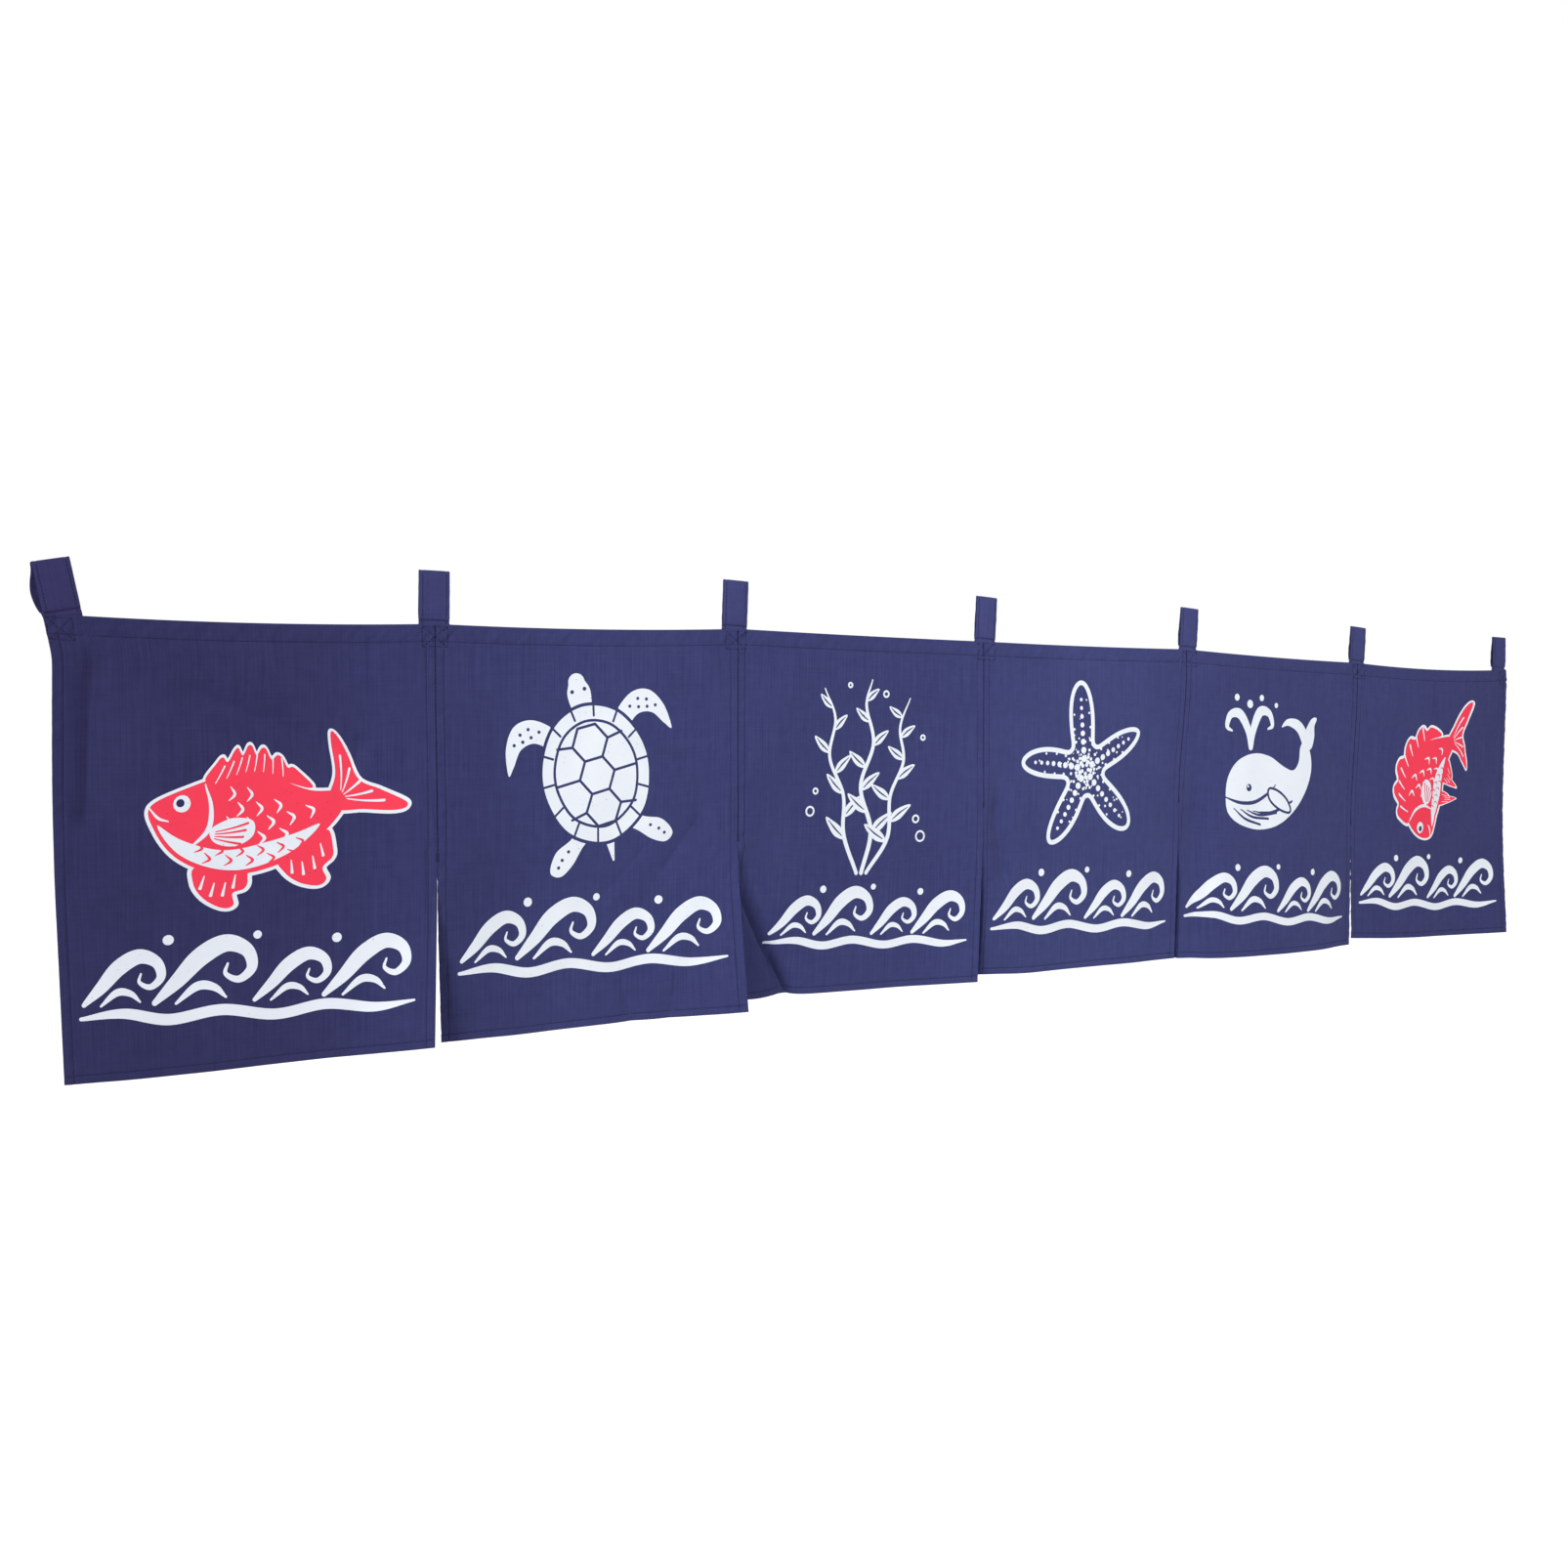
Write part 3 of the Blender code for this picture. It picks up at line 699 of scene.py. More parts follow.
# %% [markdown]
# ## The motifs
# Each panel carries one motif of the sea over the same run of waves. All of them are plain kinds
# that anyone might draw: a fish, a turtle, kelp, a starfish and a whale. The points are given a few
# for each form, with the origin at the motif's middle and y up.
# %% A fish, straight, for bending later
def fish():
    outer = [
        (blob, ((-98, -4), (-84, 18), (-56, 38), (-20, 46), (18, 38), (48, 18), (66, 8), (70, 0),
                (66, -9), (44, -20), (12, -34), (-28, -42), (-62, -36), (-86, -20))),
        (blob, ((60, 6), (78, 20), (98, 44), (107, 50), (107, 42), (100, 22), (91, 2), (98, -18),
                (104, -40), (103, -47), (96, -43), (78, -22), (60, -8))),
        (blob, ((-62, 34), (-56, 53), (-50, 58), (-43, 55), (-36, 65), (-30, 68), (-23, 62),
                (-15, 70), (-8, 70), (-3, 62), (6, 67), (13, 66), (17, 56), (26, 58), (32, 55),
                (34, 45), (42, 42), (50, 20), (20, 36), (-20, 42))),
        (blob, ((6, -32), (8, -44), (16, -56), (27, -64), (33, -61), (33, -50), (41, -45),
                (44, -38), (46, -20), (30, -26))),
        (blob, ((-50, -38), (-50, -52), (-42, -64), (-30, -71), (-24, -68), (-25, -58), (-18, -54),
                (-16, -46), (-20, -36))),
    ]
    marks = rimmed(outer, "red", "white", 2.8)
    belly = ((-86, -15), (-66, -19), (-34, -21), (-2, -15), (26, -12), (42, -12), (30, -20),
             (8, -30), (-26, -38), (-62, -32))
    marks.append(("white", blob(belly)))
    for row in range(2):
        for column in range(7):
            x, y = -66 + 15 * column + 7 * row, -22 + 0.16 * column - 8 * row
            if abs(x + 10) < 56 - 20 * row:
                scale = ((x - 3, y + 4.5, 0.8), (x + 1.5, y, 2.2), (x - 3, y - 4.5, 0.8))
                marks.append(("red", stroke(scale)))
    gill = ((-62, 32, 1.2), (-51, 16, 3.6), (-48, -4, 4.2), (-57, -22, 1.4))
    marks.append(("white", stroke(gill)))
    marks.append(("white", disc(-76, 10, 7.5)))
    marks.append(("bare", disc(-77.5, 10, 3.6)))
    marks.append(("white", stroke(((-98, -5, 1.0), (-88, -9, 2.4), (-80, -8, 1.0)))))
    for row in range(4):
        for column in range(5):
            x = -32 + 18 * column + 9 * (row % 2)
            y = 28 - 13 * row
            if abs(y) < 36 - 0.42 * (x + 32):
                scale = ((x - 3, y + 6, 0.8), (x + 2, y, 2.8), (x - 3, y - 6, 0.8))
                marks.append(("white", stroke(scale)))
    fin = ((-46, -4), (-30, 7), (-12, 5), (-12, -8), (-26, -17), (-42, -15))
    marks.append(("white", blob(fin)))
    for i in range(4):
        ray = ((-42, -6 - 2 * i, 1.0), (-16 - 2 * i, 3 - 6 * i, 2.2))
        marks.append(("red", stroke(ray)))
    for i in range(8):
        x = -52 + 11 * i
        root, tip = 48 - 0.0075 * (x + 10) ** 2, 62 - 0.0065 * (x + 10) ** 2
        marks.append(("white", stroke(((x, root, 0.8), (x + 6, tip, 2.0)))))
    for i in (-2, -1, 0, 1, 2):
        marks.append(("white", stroke(((72, 2.5 * i, 0.8), (90 + 2 * abs(i), 14 * i, 2.4)))))
    for x, y in ((14, -42), (21, -46), (29, -44), (37, -36), (-44, -52), (-37, -57), (-30, -56),
                 (-24, -49)):
        marks.append(("white", stroke(((x, y + 7, 0.8), (x - 1, y - 4, 2.0)))))
    return marks


print("marks of the fish:", len(fish()))


# %% A turtle
def hexagon(x, y, radius):
    turns = np.arange(7) * math.tau / 6
    return list(zip(x + radius * np.cos(turns), y + radius * np.sin(turns)))


def lines(ink, corners, width):
    """Straight strokes from corner to corner."""
    pairs = zip(corners, corners[1:])
    return [(ink, stroke(((*a, width), (*b, width)))) for a, b in pairs]


def turtle():
    shell = ((0, 64), (32, 52), (52, 20), (54, -14), (38, -50), (0, -68), (-38, -50), (-54, -14),
             (-52, 20), (-32, 52))
    front = ((22, 36), (36, 54), (54, 65), (72, 62), (84, 44), (87, 20), (80, 27), (70, 40),
             (56, 43), (44, 35), (34, 22))
    rear = ((24, -46), (40, -56), (57, -64), (66, -80), (57, -87), (43, -80), (31, -68), (18, -56))
    marks = [("white", stroke(((0, 50, 16), (0, 76, 24), (0, 88, 17))))]
    for side in (-1, 1):
        for limb in (front, rear):
            marks.append(("white", blob([(side * x, y) for x, y in limb])))
        for x, y in ((48, 52), (58, 57), (67, 54), (75, 46), (57, 49), (66, 47), (44, -66),
                     (52, -72), (57, -78)):
            marks.append(("bare", disc(side * x, y, 1.7, 8)))
        marks.append(("bare", disc(side * 6.5, 80, 2.0, 8)))
    marks.append(("white", stroke(((0, -60, 12), (0, -88, 2)))))
    marks.append(("bare", blob(shell, 3.2)))
    marks.append(("white", blob(shell)))
    inner = np.array(shell) * 0.80
    ring = blob(inner)
    marks.append(("bare", ring))
    marks.append(("white", blob(inner, -2.6)))
    for y in (29, -3, -35):
        marks += lines("bare", hexagon(0, y, 18.5), 2.6)
    for side in (-1, 1):
        for y, out in ((29, 34), (-3, 43), (-35, 34)):
            marks += lines("bare", [(side * 18.5, y), (side * out, y * 1.08)], 2.6)
    for tick in range(14):  # the seams of the shell's rim
        turn = math.tau * (tick + 0.5) / 14
        way = np.array((math.sin(turn), math.cos(turn)))
        out = np.array((56, 68)) * way
        marks += lines("bare", [tuple(out * 0.80), tuple(out)], 2.2)
    return marks


print("marks of the turtle:", len(turtle()))


# %% Kelp with bubbles
def leaf(x, y, turn, length, width):
    """A pointed leaf with a bare vein, from its root."""
    shape = ((0, 0), (length * 0.35, width / 2), (length * 0.8, width * 0.3), (length, 0),
             (length * 0.8, -width * 0.22), (length * 0.35, -width * 0.42))
    vein = ((length * 0.16, 0, 1.0), (length * 0.5, 0.6, 1.7), (length * 0.86, 0, 0.7))
    return moved([("white", blob(shape)), ("bare", stroke(vein))], x, y, 1.0, turn)


def kelp():
    stems = (
        ((-6, -98, 4.2), (-24, -58, 4.6), (-26, -18, 4.0), (-44, 20, 3.6), (-38, 58, 3.0),
         (-50, 88, 1.2)),
        ((0, -98, 4.8), (9, -55, 5.0), (-5, -10, 4.4), (9, 34, 4.0), (0, 72, 3.2), (7, 98, 1.2)),
        ((6, -98, 4.2), (30, -62, 4.6), (32, -20, 4.0), (47, 16, 3.6), (42, 50, 3.0),
         (54, 80, 1.2)),
    )
    marks = []
    for number, stem in enumerate(stems):
        line = curve(stem)
        marks.append(("white", stroke(stem)))
        for i in range(7):
            share = 0.20 + 0.115 * i
            x, y, _ = line[int(share * len(line))]
            side = 1 if (i + number) % 2 else -1
            turn = 90 - side * (46 + 5 * ((i * 3 + number) % 3))
            marks += leaf(x, y, turn, 33 - 2.2 * i, 12 - 0.6 * i)
    for x, y, radius in ((-66, -34, 5.5), (-60, -14, 3.6), (64, -44, 4.6), (70, -62, 6.2),
                         (24, 84, 4.0), (-20, 92, 3.2), (71, 40, 3.4)):
        marks.append(("white", disc(x, y, radius)))
        marks.append(("bare", disc(x, y, radius - 2.0)))
    return marks


print("marks of the kelp:", len(kelp()))

# %% A starfish
SPECKLES = 110


def star_reach(turn):
    """How far a starfish reaches in a direction: five blunt arms."""
    return 30 + 62 * (0.5 + 0.5 * np.cos(5 * turn)) ** 1.35


def star_point(turn, share):
    """A point at a share of the reach, on arms that curl a little."""
    reach = star_reach(turn) * share
    curl = turn + 0.0012 * reach * np.sin(2.0 * turn + 0.6)
    return np.stack((reach * np.sin(curl), 1.07 * reach * np.cos(curl)), axis=-1)


def starfish():
    turns = np.linspace(0, math.tau, 220, endpoint=False)
    outer = star_point(turns, 1.0)
    marks = [("white", outer), ("bare", outer + sideways(outer, closed=True) * -5.2)]
    for arm in range(5):
        middle = arm * math.tau / 5
        for i in range(8):
            share = 0.12 + 0.095 * i
            x, y = star_point(middle, share)
            marks.append(("white", disc(x, y, 4.0 - 0.28 * i, 10)))
            for side in (-1, 1):
                aside = side * (0.62 - 0.075 * i)
                x, y = star_point(middle + aside, share * (1 + 0.5 * abs(aside)))
                if i < 7:
                    marks.append(("white", disc(x, y, 2.3 - 0.15 * i, 8)))
    chance = np.random.default_rng(5)
    for turn, share, radius in chance.random((SPECKLES, 3)):
        x, y = star_point(turn * math.tau, 0.15 + 0.72 * share)
        marks.append(("white", disc(x, y, 0.7 + 0.9 * radius, 6)))
    return marks


print("marks of the starfish:", len(starfish()))


# %% A whale that spouts
def whale():
    body = ((-74, -38), (-70, -12), (-54, 8), (-28, 17), (0, 14), (24, 2), (40, -2), (50, 8),
            (54, 26), (62, 34), (72, 22), (74, 0), (64, -26), (44, -50), (14, -68), (-20, -74),
            (-52, -68), (-70, -56))
    left_fluke = ((62, 24), (50, 44), (34, 52), (22, 50), (32, 60), (50, 60), (64, 50), (69, 36))
    right_fluke = ((60, 26), (66, 48), (80, 62), (88, 62), (84, 50), (82, 38), (74, 24))
    marks = [("white", blob(form)) for form in (body, left_fluke, right_fluke)]
    jaw = ((-75, -36, 1.6), (-52, -42, 4.0), (-26, -41, 4.4), (-2, -30, 3.4), (10, -20, 1.2))
    marks.append(("bare", stroke(jaw)))
    for i in range(5):
        start, end = (-62 + 11 * i, -49 - i, 1.2), (-18 + 14 * i, -68 + 7 * i, 2.8)
        middle = (-44 + 13 * i, -61 + 2.2 * i, 3.0)
        marks.append(("bare", stroke((start, middle, end))))
    marks.append(("bare", disc(-36, -24, 4.6, 12)))
    marks.append(("white", disc(-37.5, -22.5, 1.5, 8)))
    fin = ((0, -26), (14, -29), (28, -39), (34, -51), (24, -51), (10, -45), (0, -36))
    marks += [("bare", blob(fin, 3.0)), ("white", blob(fin))]
    for side, lean in ((-1, 0), (1, 4)):
        jet = ((-34, 24, 7), (-34 + side * 4, 44, 10), (-34 + side * 17, 63 + lean, 12),
               (-34 + side * 33, 62 + lean, 9), (-34 + side * 39, 48 + lean, 6),
               (-34 + side * 31, 43 + lean, 2.5))
        marks.append(("white", stroke(jet)))
    for x, y, radius in ((-34, 76, 5.0), (-14, 84, 3.8), (-56, 83, 4.2), (12, 76, 3.2)):
        marks.append(("white", disc(x, y, radius)))
    return marks


print("marks of the whale:", len(whale()))


# %% Waves: curling crests in a row over a rolling line
CRESTS = ((-97, -3, 0.96), (-34, 3, 1.18), (34, -4, 0.92), (95, 1, 1.08))  # x, y and size


def waves():
    crest = ((-34, -24, 4), (-20, -10, 10), (-6, 6, 13), (10, 15, 12), (24, 10, 9), (28, -2, 7),
             (20, -10, 5), (11, -6, 3), (12, 1, 1.5))
    hollow = ((-20, -25, 2), (-7, -14, 6), (4, -15, 5), (12, -22, 1.5))
    marks = []
    for x, y, size in CRESTS:
        form = [("white", stroke(crest)), ("white", stroke(hollow))]
        marks += moved(form, x, y, size)
    foot = ((-132, -37, 3), (-98, -33, 8), (-62, -39, 9), (-22, -33, 9), (20, -39, 9), (60, -33, 9),
            (100, -38, 8), (134, -34, 2))
    marks.append(("white", stroke(foot)))
    for x, y, radius in ((-66, 24, 4.2), (2, 27, 3.4), (66, 22, 4.0)):
        marks.append(("white", disc(x, y, radius)))
    return marks


print("marks of the waves:", len(waves()))

# %% [markdown]
# ## Placing the print
# Each motif goes where the curtain has one, at its size. The flat panel counts down from the
# header, so a drawing with y up is turned over as it is placed.
# %% What is printed on each panel
MOTIF_MIDDLES = ((157, 164), (152, 130), (150, 142), (145, 136), (140, 134), (146, 132))
WAVE_PLACES = (  # across, down, size
    (149, 280, 1.0), (153, 272, 1.0), (163, 279, 0.9),
    (149, 275, 1.0), (149, 280, 1.0), (151, 273, 1.0),
)
WAVE_TILT = -2.5  # degrees: the waves run slightly downhill to the right


def printed(panel):
    """Every mark of a panel in its flat millimetres, across and down."""
    motifs = (
        moved(bent(fish(), -150), 2, 0, 0.93, 6),
        moved(turtle(), size=0.96, turn=14),
        kelp(),
        moved(starfish(), turn=8),
        whale(),
        moved(bent(fish(), 92), 0, -4, 0.92, 64),
    )
    across, down = MOTIF_MIDDLES[panel - 1]
    marks = moved(motifs[panel - 1], across, -down)
    across, down, size = WAVE_PLACES[panel - 1]
    marks += moved(waves(), across, -down, size, WAVE_TILT)
    return [(ink, outline * (1, -1)) for ink, outline in marks]


for panel in range(1, PANEL_COUNT + 1):
    spots = np.concatenate([outline for _, outline in printed(panel)])
    print("print of panel", panel, spots.min(axis=0).round(), "to", spots.max(axis=0).round(), "mm")

# %% [markdown]
# ## Shader tools
# Materials are made of nodes, and most of the code for them is wiring. These helpers add a node, set
# its options and fill its sockets with values or with other nodes' outputs, so that each material
# below reads as a short list.
# %% Helpers for nodes and groups
def fill(tree, node, inputs):
    """Gives a node its inputs, each as a value or as the socket that it is linked from."""
    for key, value in inputs.items():
        if isinstance(value, bpy.types.NodeSocket):
            tree.links.new(value, node.inputs[key])
        else:
            node.inputs[key].default_value = value
    return node


def add_node(tree, kind, inputs=None, **options):
    new = tree.nodes.new("ShaderNode" + kind)
    for name, value in options.items():
        setattr(new, name, value)
    return fill(tree, new, inputs or {})


def calculate(tree, operation, *values):
    return add_node(tree, "Math", dict(enumerate(values)), operation=operation).outputs[0]


def new_group(name, inputs, outputs):
    """An empty shader group with its sockets, its input node and its output node."""
    group = bpy.data.node_groups.new(name, "ShaderNodeTree")
    for label, kind, value in inputs:
        socket = group.interface.new_socket(label, in_out="INPUT", socket_type=kind)
        if value is not None:
            socket.default_value = value
    for label, kind in outputs:
        group.interface.new_socket(label, in_out="OUTPUT", socket_type=kind)
    return group, group.nodes.new("NodeGroupInput"), group.nodes.new("NodeGroupOutput")


def use_group(tree, group, inputs):
    new = tree.nodes.new("ShaderNodeGroup")
    new.node_tree = group
    return fill(tree, new, inputs)


# %% [markdown]
# ## Plain weave
# Plain weave passes each thread over one and under the next. It could be modelled thread by thread,
# but a curtain has millions of crossings, so it is a height that the light reads as relief. The sine
# of the place across gives the round back of an upright thread, the sine of the place down gives
# that of a level one, and the sign of their product says which of the two lies on top. The yarn is
# uneven, so long thin streaks run along both kinds of thread.
# %% Group: plain weave
THREADS = 2100  # to the metre
CROSSING_DIP = 0.4  # how much a thread on top sinks where it dives under the next
STREAK_SHARES = (0.74, 0.26)  # of the upright and of the level yarn

weave, given, result = new_group(
    "plain_weave",
    (("Cloth", "NodeSocketVector", None), ("Threads", "NodeSocketFloat", THREADS)),
    (("Height", "NodeSocketFloat"), ("Streaks", "NodeSocketFloat")),
)
flat = add_node(weave, "SeparateXYZ", {0: given.outputs["Cloth"]})
half_turns = calculate(weave, "MULTIPLY", given.outputs["Threads"], math.pi)
upright = calculate(weave, "SINE", calculate(weave, "MULTIPLY", flat.outputs[0], half_turns))
level = calculate(weave, "SINE", calculate(weave, "MULTIPLY", flat.outputs[1], half_turns))
upright_on_top = calculate(weave, "GREATER_THAN", calculate(weave, "MULTIPLY", upright, level), 0.0)
upright_back = calculate(weave, "SQRT", calculate(weave, "ABSOLUTE", upright))
level_back = calculate(weave, "SQRT", calculate(weave, "ABSOLUTE", level))
level_rise = calculate(weave, "MULTIPLY_ADD", level_back, CROSSING_DIP, 1 - CROSSING_DIP)
upright_rise = calculate(weave, "MULTIPLY_ADD", upright_back, CROSSING_DIP, 1 - CROSSING_DIP)
heights = add_node(weave, "Mix", {
    0: upright_on_top,
    2: calculate(weave, "MULTIPLY", level_back, upright_rise),
    3: calculate(weave, "MULTIPLY", upright_back, level_rise),
})
weave.links.new(heights.outputs[0], result.inputs["Height"])
streaks = []
for stretch in ((880.0, 14.0, 1.0), (14.0, 900.0, 1.0)):  # upright yarn, then level yarn
    stretched = add_node(weave, "VectorMath", {
        0: given.outputs["Cloth"],
        1: stretch,
    }, operation="MULTIPLY")
    streak = add_node(weave, "TexNoise", {
        "Vector": stretched.outputs[0], "Scale": 1.0, "Detail": 2.0, "Roughness": 0.6,
    })
    streaks.append(streak.outputs["Fac"])
upright_streaks = calculate(weave, "MULTIPLY", streaks[0], STREAK_SHARES[0])
both_streaks = calculate(weave, "MULTIPLY_ADD", streaks[1], STREAK_SHARES[1], upright_streaks)
weave.links.new(both_streaks, result.inputs["Streaks"])
print("weave:", round(1000 / THREADS, 2), "mm from thread to thread")

# %% [markdown]
# ## Clouded dye, and painted light along the curtain
# Navy piece-dyed cotton isn't one flat colour. It is a little paler here and there, over a hand's
# width and over a few centimetres. It is also painted paler along the middle of the curtain than at
# its ends: partly uneven dye, and partly painted light, a brighter middle and shaded ends. One group
# gives both masks, for the cloth and the straps alike. The second mask is read along the whole
# curtain, which is why the flat places of a panel start where the last panel's end.
# %% Group: clouded dye and painted light
DYE_AND_LIGHT_STOPS = ((0.0, 0.0), (0.08, 0.05), (0.16, 0.36), (0.25, 0.68), (0.42, 0.64), (0.58, 1.0),
              (0.75, 0.67), (1.0, 0.42))  # share of the curtain's width, and how much paler the dye and the painted light make it there
TONE_SHARES = (0.18, 0.20, 0.62)  # of the broad clouds, the fine clouds and the streaks
TONE_RANGE = (0.33, 0.67)  # what their sum mostly lies between

dye, given, result = new_group(
    "clouded_dye_painted_light",
    (("Cloth", "NodeSocketVector", None), ("Streaks", "NodeSocketFloat", 0.5)),
    (("Tone", "NodeSocketFloat"), ("Fade", "NodeSocketFloat")),
)
flat = add_node(dye, "SeparateXYZ", {0: given.outputs["Cloth"]})
along = calculate(dye, "DIVIDE", flat.outputs[0], PANEL_WIDTH * PANEL_COUNT)
# a ramp along the curtain, paler in the middle: partly uneven dye, partly painted light
fade = add_node(dye, "ValToRGB", {0: along})
fade.color_ramp.interpolation = "EASE"
for place, share in DYE_AND_LIGHT_STOPS[1:-1]:
    fade.color_ramp.elements.new(place)
for stop, (place, share) in zip(fade.color_ramp.elements, DYE_AND_LIGHT_STOPS):
    stop.position = place
    stop.color = (share, share, share, 1.0)
dye.links.new(fade.outputs["Color"], result.inputs["Fade"])
broad = add_node(dye, "TexNoise", {
    "Vector": given.outputs["Cloth"], "Scale": 11.0, "Detail": 3.0, "Roughness": 0.55,
})
fine = add_node(dye, "TexNoise", {
    "Vector": given.outputs["Cloth"], "Scale": 90.0, "Detail": 2.0, "Roughness": 0.6,
})
tone = calculate(dye, "MULTIPLY", broad.outputs["Fac"], TONE_SHARES[0])
tone = calculate(dye, "MULTIPLY_ADD", fine.outputs["Fac"], TONE_SHARES[1], tone)
tone = calculate(dye, "MULTIPLY_ADD", given.outputs["Streaks"], TONE_SHARES[2], tone)
spread = add_node(dye, "MapRange", {
    "Value": tone, "From Min": TONE_RANGE[0], "From Max": TONE_RANGE[1],
})
dye.links.new(spread.outputs["Result"], result.inputs["Tone"])
print("the dye's fade has", len(fade.color_ramp.elements), "stops")

# %% [markdown]
# ## Ink film
# Screen ink lies on top of the yarn. It fills the hollows of the weave, so the print is smoother
# than the cloth, and it misses a tiny spot here and there, where bare navy shows.
# %% Group: ink film
PATCHY = 0.25  # how much the broad patches move the tiny spots
SPOT_EDGE = 0.04  # how softly ink gives way to a bare spot

film, given, result = new_group(
    "ink_film",
    (("Cloth", "NodeSocketVector", None), ("Missed", "NodeSocketFloat", 0.30)),
    (("Cover", "NodeSocketFloat"), ("Mottle", "NodeSocketFloat")),
)
specks = add_node(film, "TexNoise", {
    "Vector": given.outputs["Cloth"], "Scale": 620.0, "Detail": 1.0, "Roughness": 0.5,
})
patches = add_node(film, "TexNoise", {
    "Vector": given.outputs["Cloth"], "Scale": 35.0, "Detail": 2.0, "Roughness": 0.5,
})
spotty = calculate(film, "MULTIPLY_ADD", patches.outputs["Fac"], PATCHY, specks.outputs["Fac"])
cover = add_node(film, "MapRange", {
    "Value": spotty, "From Min": given.outputs["Missed"],
    "From Max": calculate(film, "ADD", given.outputs["Missed"], SPOT_EDGE),
})
film.links.new(cover.outputs["Result"], result.inputs["Cover"])
film.links.new(patches.outputs["Fac"], result.inputs["Mottle"])
print("groups so far:", [group.name for group in bpy.data.node_groups])

# %% [markdown]
# ## The materials
# The weave's relief goes into the normal, and the dye's clouds into the colour and the roughness.
# The soft pale bloom that cotton shows at a grazing angle is the shader's sheen. Each ink is the
# same cloth with a film over it, so both inks share one function.
# %% Cloth, strap and thread
NAVY_DARK = (0.0205, 0.0197, 0.0730, 1.0)
NAVY_PALE = (0.0338, 0.0325, 0.1100, 1.0)
STRAP_DARK = (0.0270, 0.0254, 0.0900, 1.0)
STRAP_PALE = (0.0385, 0.0361, 0.1200, 1.0)
THREAD_DARK = (0.0085, 0.0086, 0.0320, 1.0)
THREAD_PALE = (0.0190, 0.0192, 0.0660, 1.0)
NO_GAIN = (1.0, 1.0, 1.0, 1.0)
DYE_AND_LIGHT_GAIN = (1.60, 1.95, 1.74, 1.0)  # how much lighter the cloth is where the dye and the painted light make it palest
WEAVE_DEPTH = 0.00012


def new_material(name, roughness, sheen):
    """A material whose Principled shader has the constants of cotton."""
    made = bpy.data.materials.new(name)
    made.use_nodes = True
    shader = made.node_tree.nodes["Principled BSDF"]
    shader.inputs["Roughness"].default_value = roughness
    shader.inputs["Specular IOR Level"].default_value = 0.12
    shader.inputs["Sheen Weight"].default_value = sheen
    shader.inputs["Sheen Roughness"].default_value = 0.45
    shader.inputs["Sheen Tint"].default_value = (0.50, 0.56, 1.00, 1.0)
    return made, made.node_tree, shader


def mix_colours(tree, share, first, second):
    return add_node(tree, "Mix", {0: share, 6: first, 7: second}, data_type="RGBA").outputs[2]


def woven(tree, shader, depth):
    """Lays the weave on a shader, and gives the cloth's flat places and its clouds of dye."""
    places = add_node(tree, "UVMap", uv_map="flat").outputs[0]
    threads = use_group(tree, weave, {"Cloth": places})
    clouds = use_group(tree, dye, {"Cloth": places, "Streaks": threads.outputs["Streaks"]})
    bump = add_node(tree, "Bump", {
        "Height": threads.outputs["Height"], "Distance": depth, "Strength": 0.7,
    })
    tree.links.new(bump.outputs[0], shader.inputs["Normal"])
    return places, clouds


def dyed(tree, clouds, dark, pale):
    """The colour of navy cloth with its clouds, paler along the middle of the curtain: partly uneven
    dye, partly painted light.
    """
    fresh = mix_colours(tree, clouds.outputs["Tone"], dark, pale)
    dye_and_light_gain = mix_colours(tree, clouds.outputs["Fade"], NO_GAIN, DYE_AND_LIGHT_GAIN)
    product = add_node(
        tree, "Mix", {0: 1.0, 6: fresh, 7: dye_and_light_gain}, data_type="RGBA", blend_type="MULTIPLY"
    )
    return product.outputs[2]


def cloth_material(name, dark, pale):
    made, tree, shader = new_material(name, roughness=0.86, sheen=0.14)
    _, clouds = woven(tree, shader, WEAVE_DEPTH)
    tree.links.new(dyed(tree, clouds, dark, pale), shader.inputs["Base Color"])
    rough = add_node(tree, "MapRange", {
        "Value": clouds.outputs["Tone"], "To Min": 0.90, "To Max": 0.80,
    })
    tree.links.new(rough.outputs["Result"], shader.inputs["Roughness"])
    return made


navy_cloth = cloth_material("navy_woven_cloth", NAVY_DARK, NAVY_PALE)
navy_strap = cloth_material("navy_woven_strap", STRAP_DARK, STRAP_PALE)
navy_thread, tree, shader = new_material("navy_sewing_thread", roughness=0.70, sheen=0.03)
places = add_node(tree, "UVMap", uv_map="flat").outputs[0]
twist = add_node(tree, "TexWave", {"Vector": places, "Scale": 420.0, "Distortion": 0.4})
bump = add_node(tree, "Bump", {"Height": twist.outputs["Fac"], "Distance": 0.00005})
tree.links.new(bump.outputs[0], shader.inputs["Normal"])
thread_tone = mix_colours(tree, twist.outputs["Fac"], THREAD_DARK, THREAD_PALE)
tree.links.new(thread_tone, shader.inputs["Base Color"])
print("cloth materials:", navy_cloth.name, navy_strap.name, navy_thread.name)

# %% White and red ink
WHITE_INK = (0.800, 0.835, 0.880, 1.0)
WHITE_INK_THIN_SHADED = (0.665, 0.705, 0.780, 1.0)
RED_INK = (0.900, 0.052, 0.090, 1.0)
RED_INK_THIN_SHADED = (0.780, 0.040, 0.082, 1.0)
BODY_SHARES = (0.40, 0.60)  # how much the mottle and the painted light along the curtain give ink its body
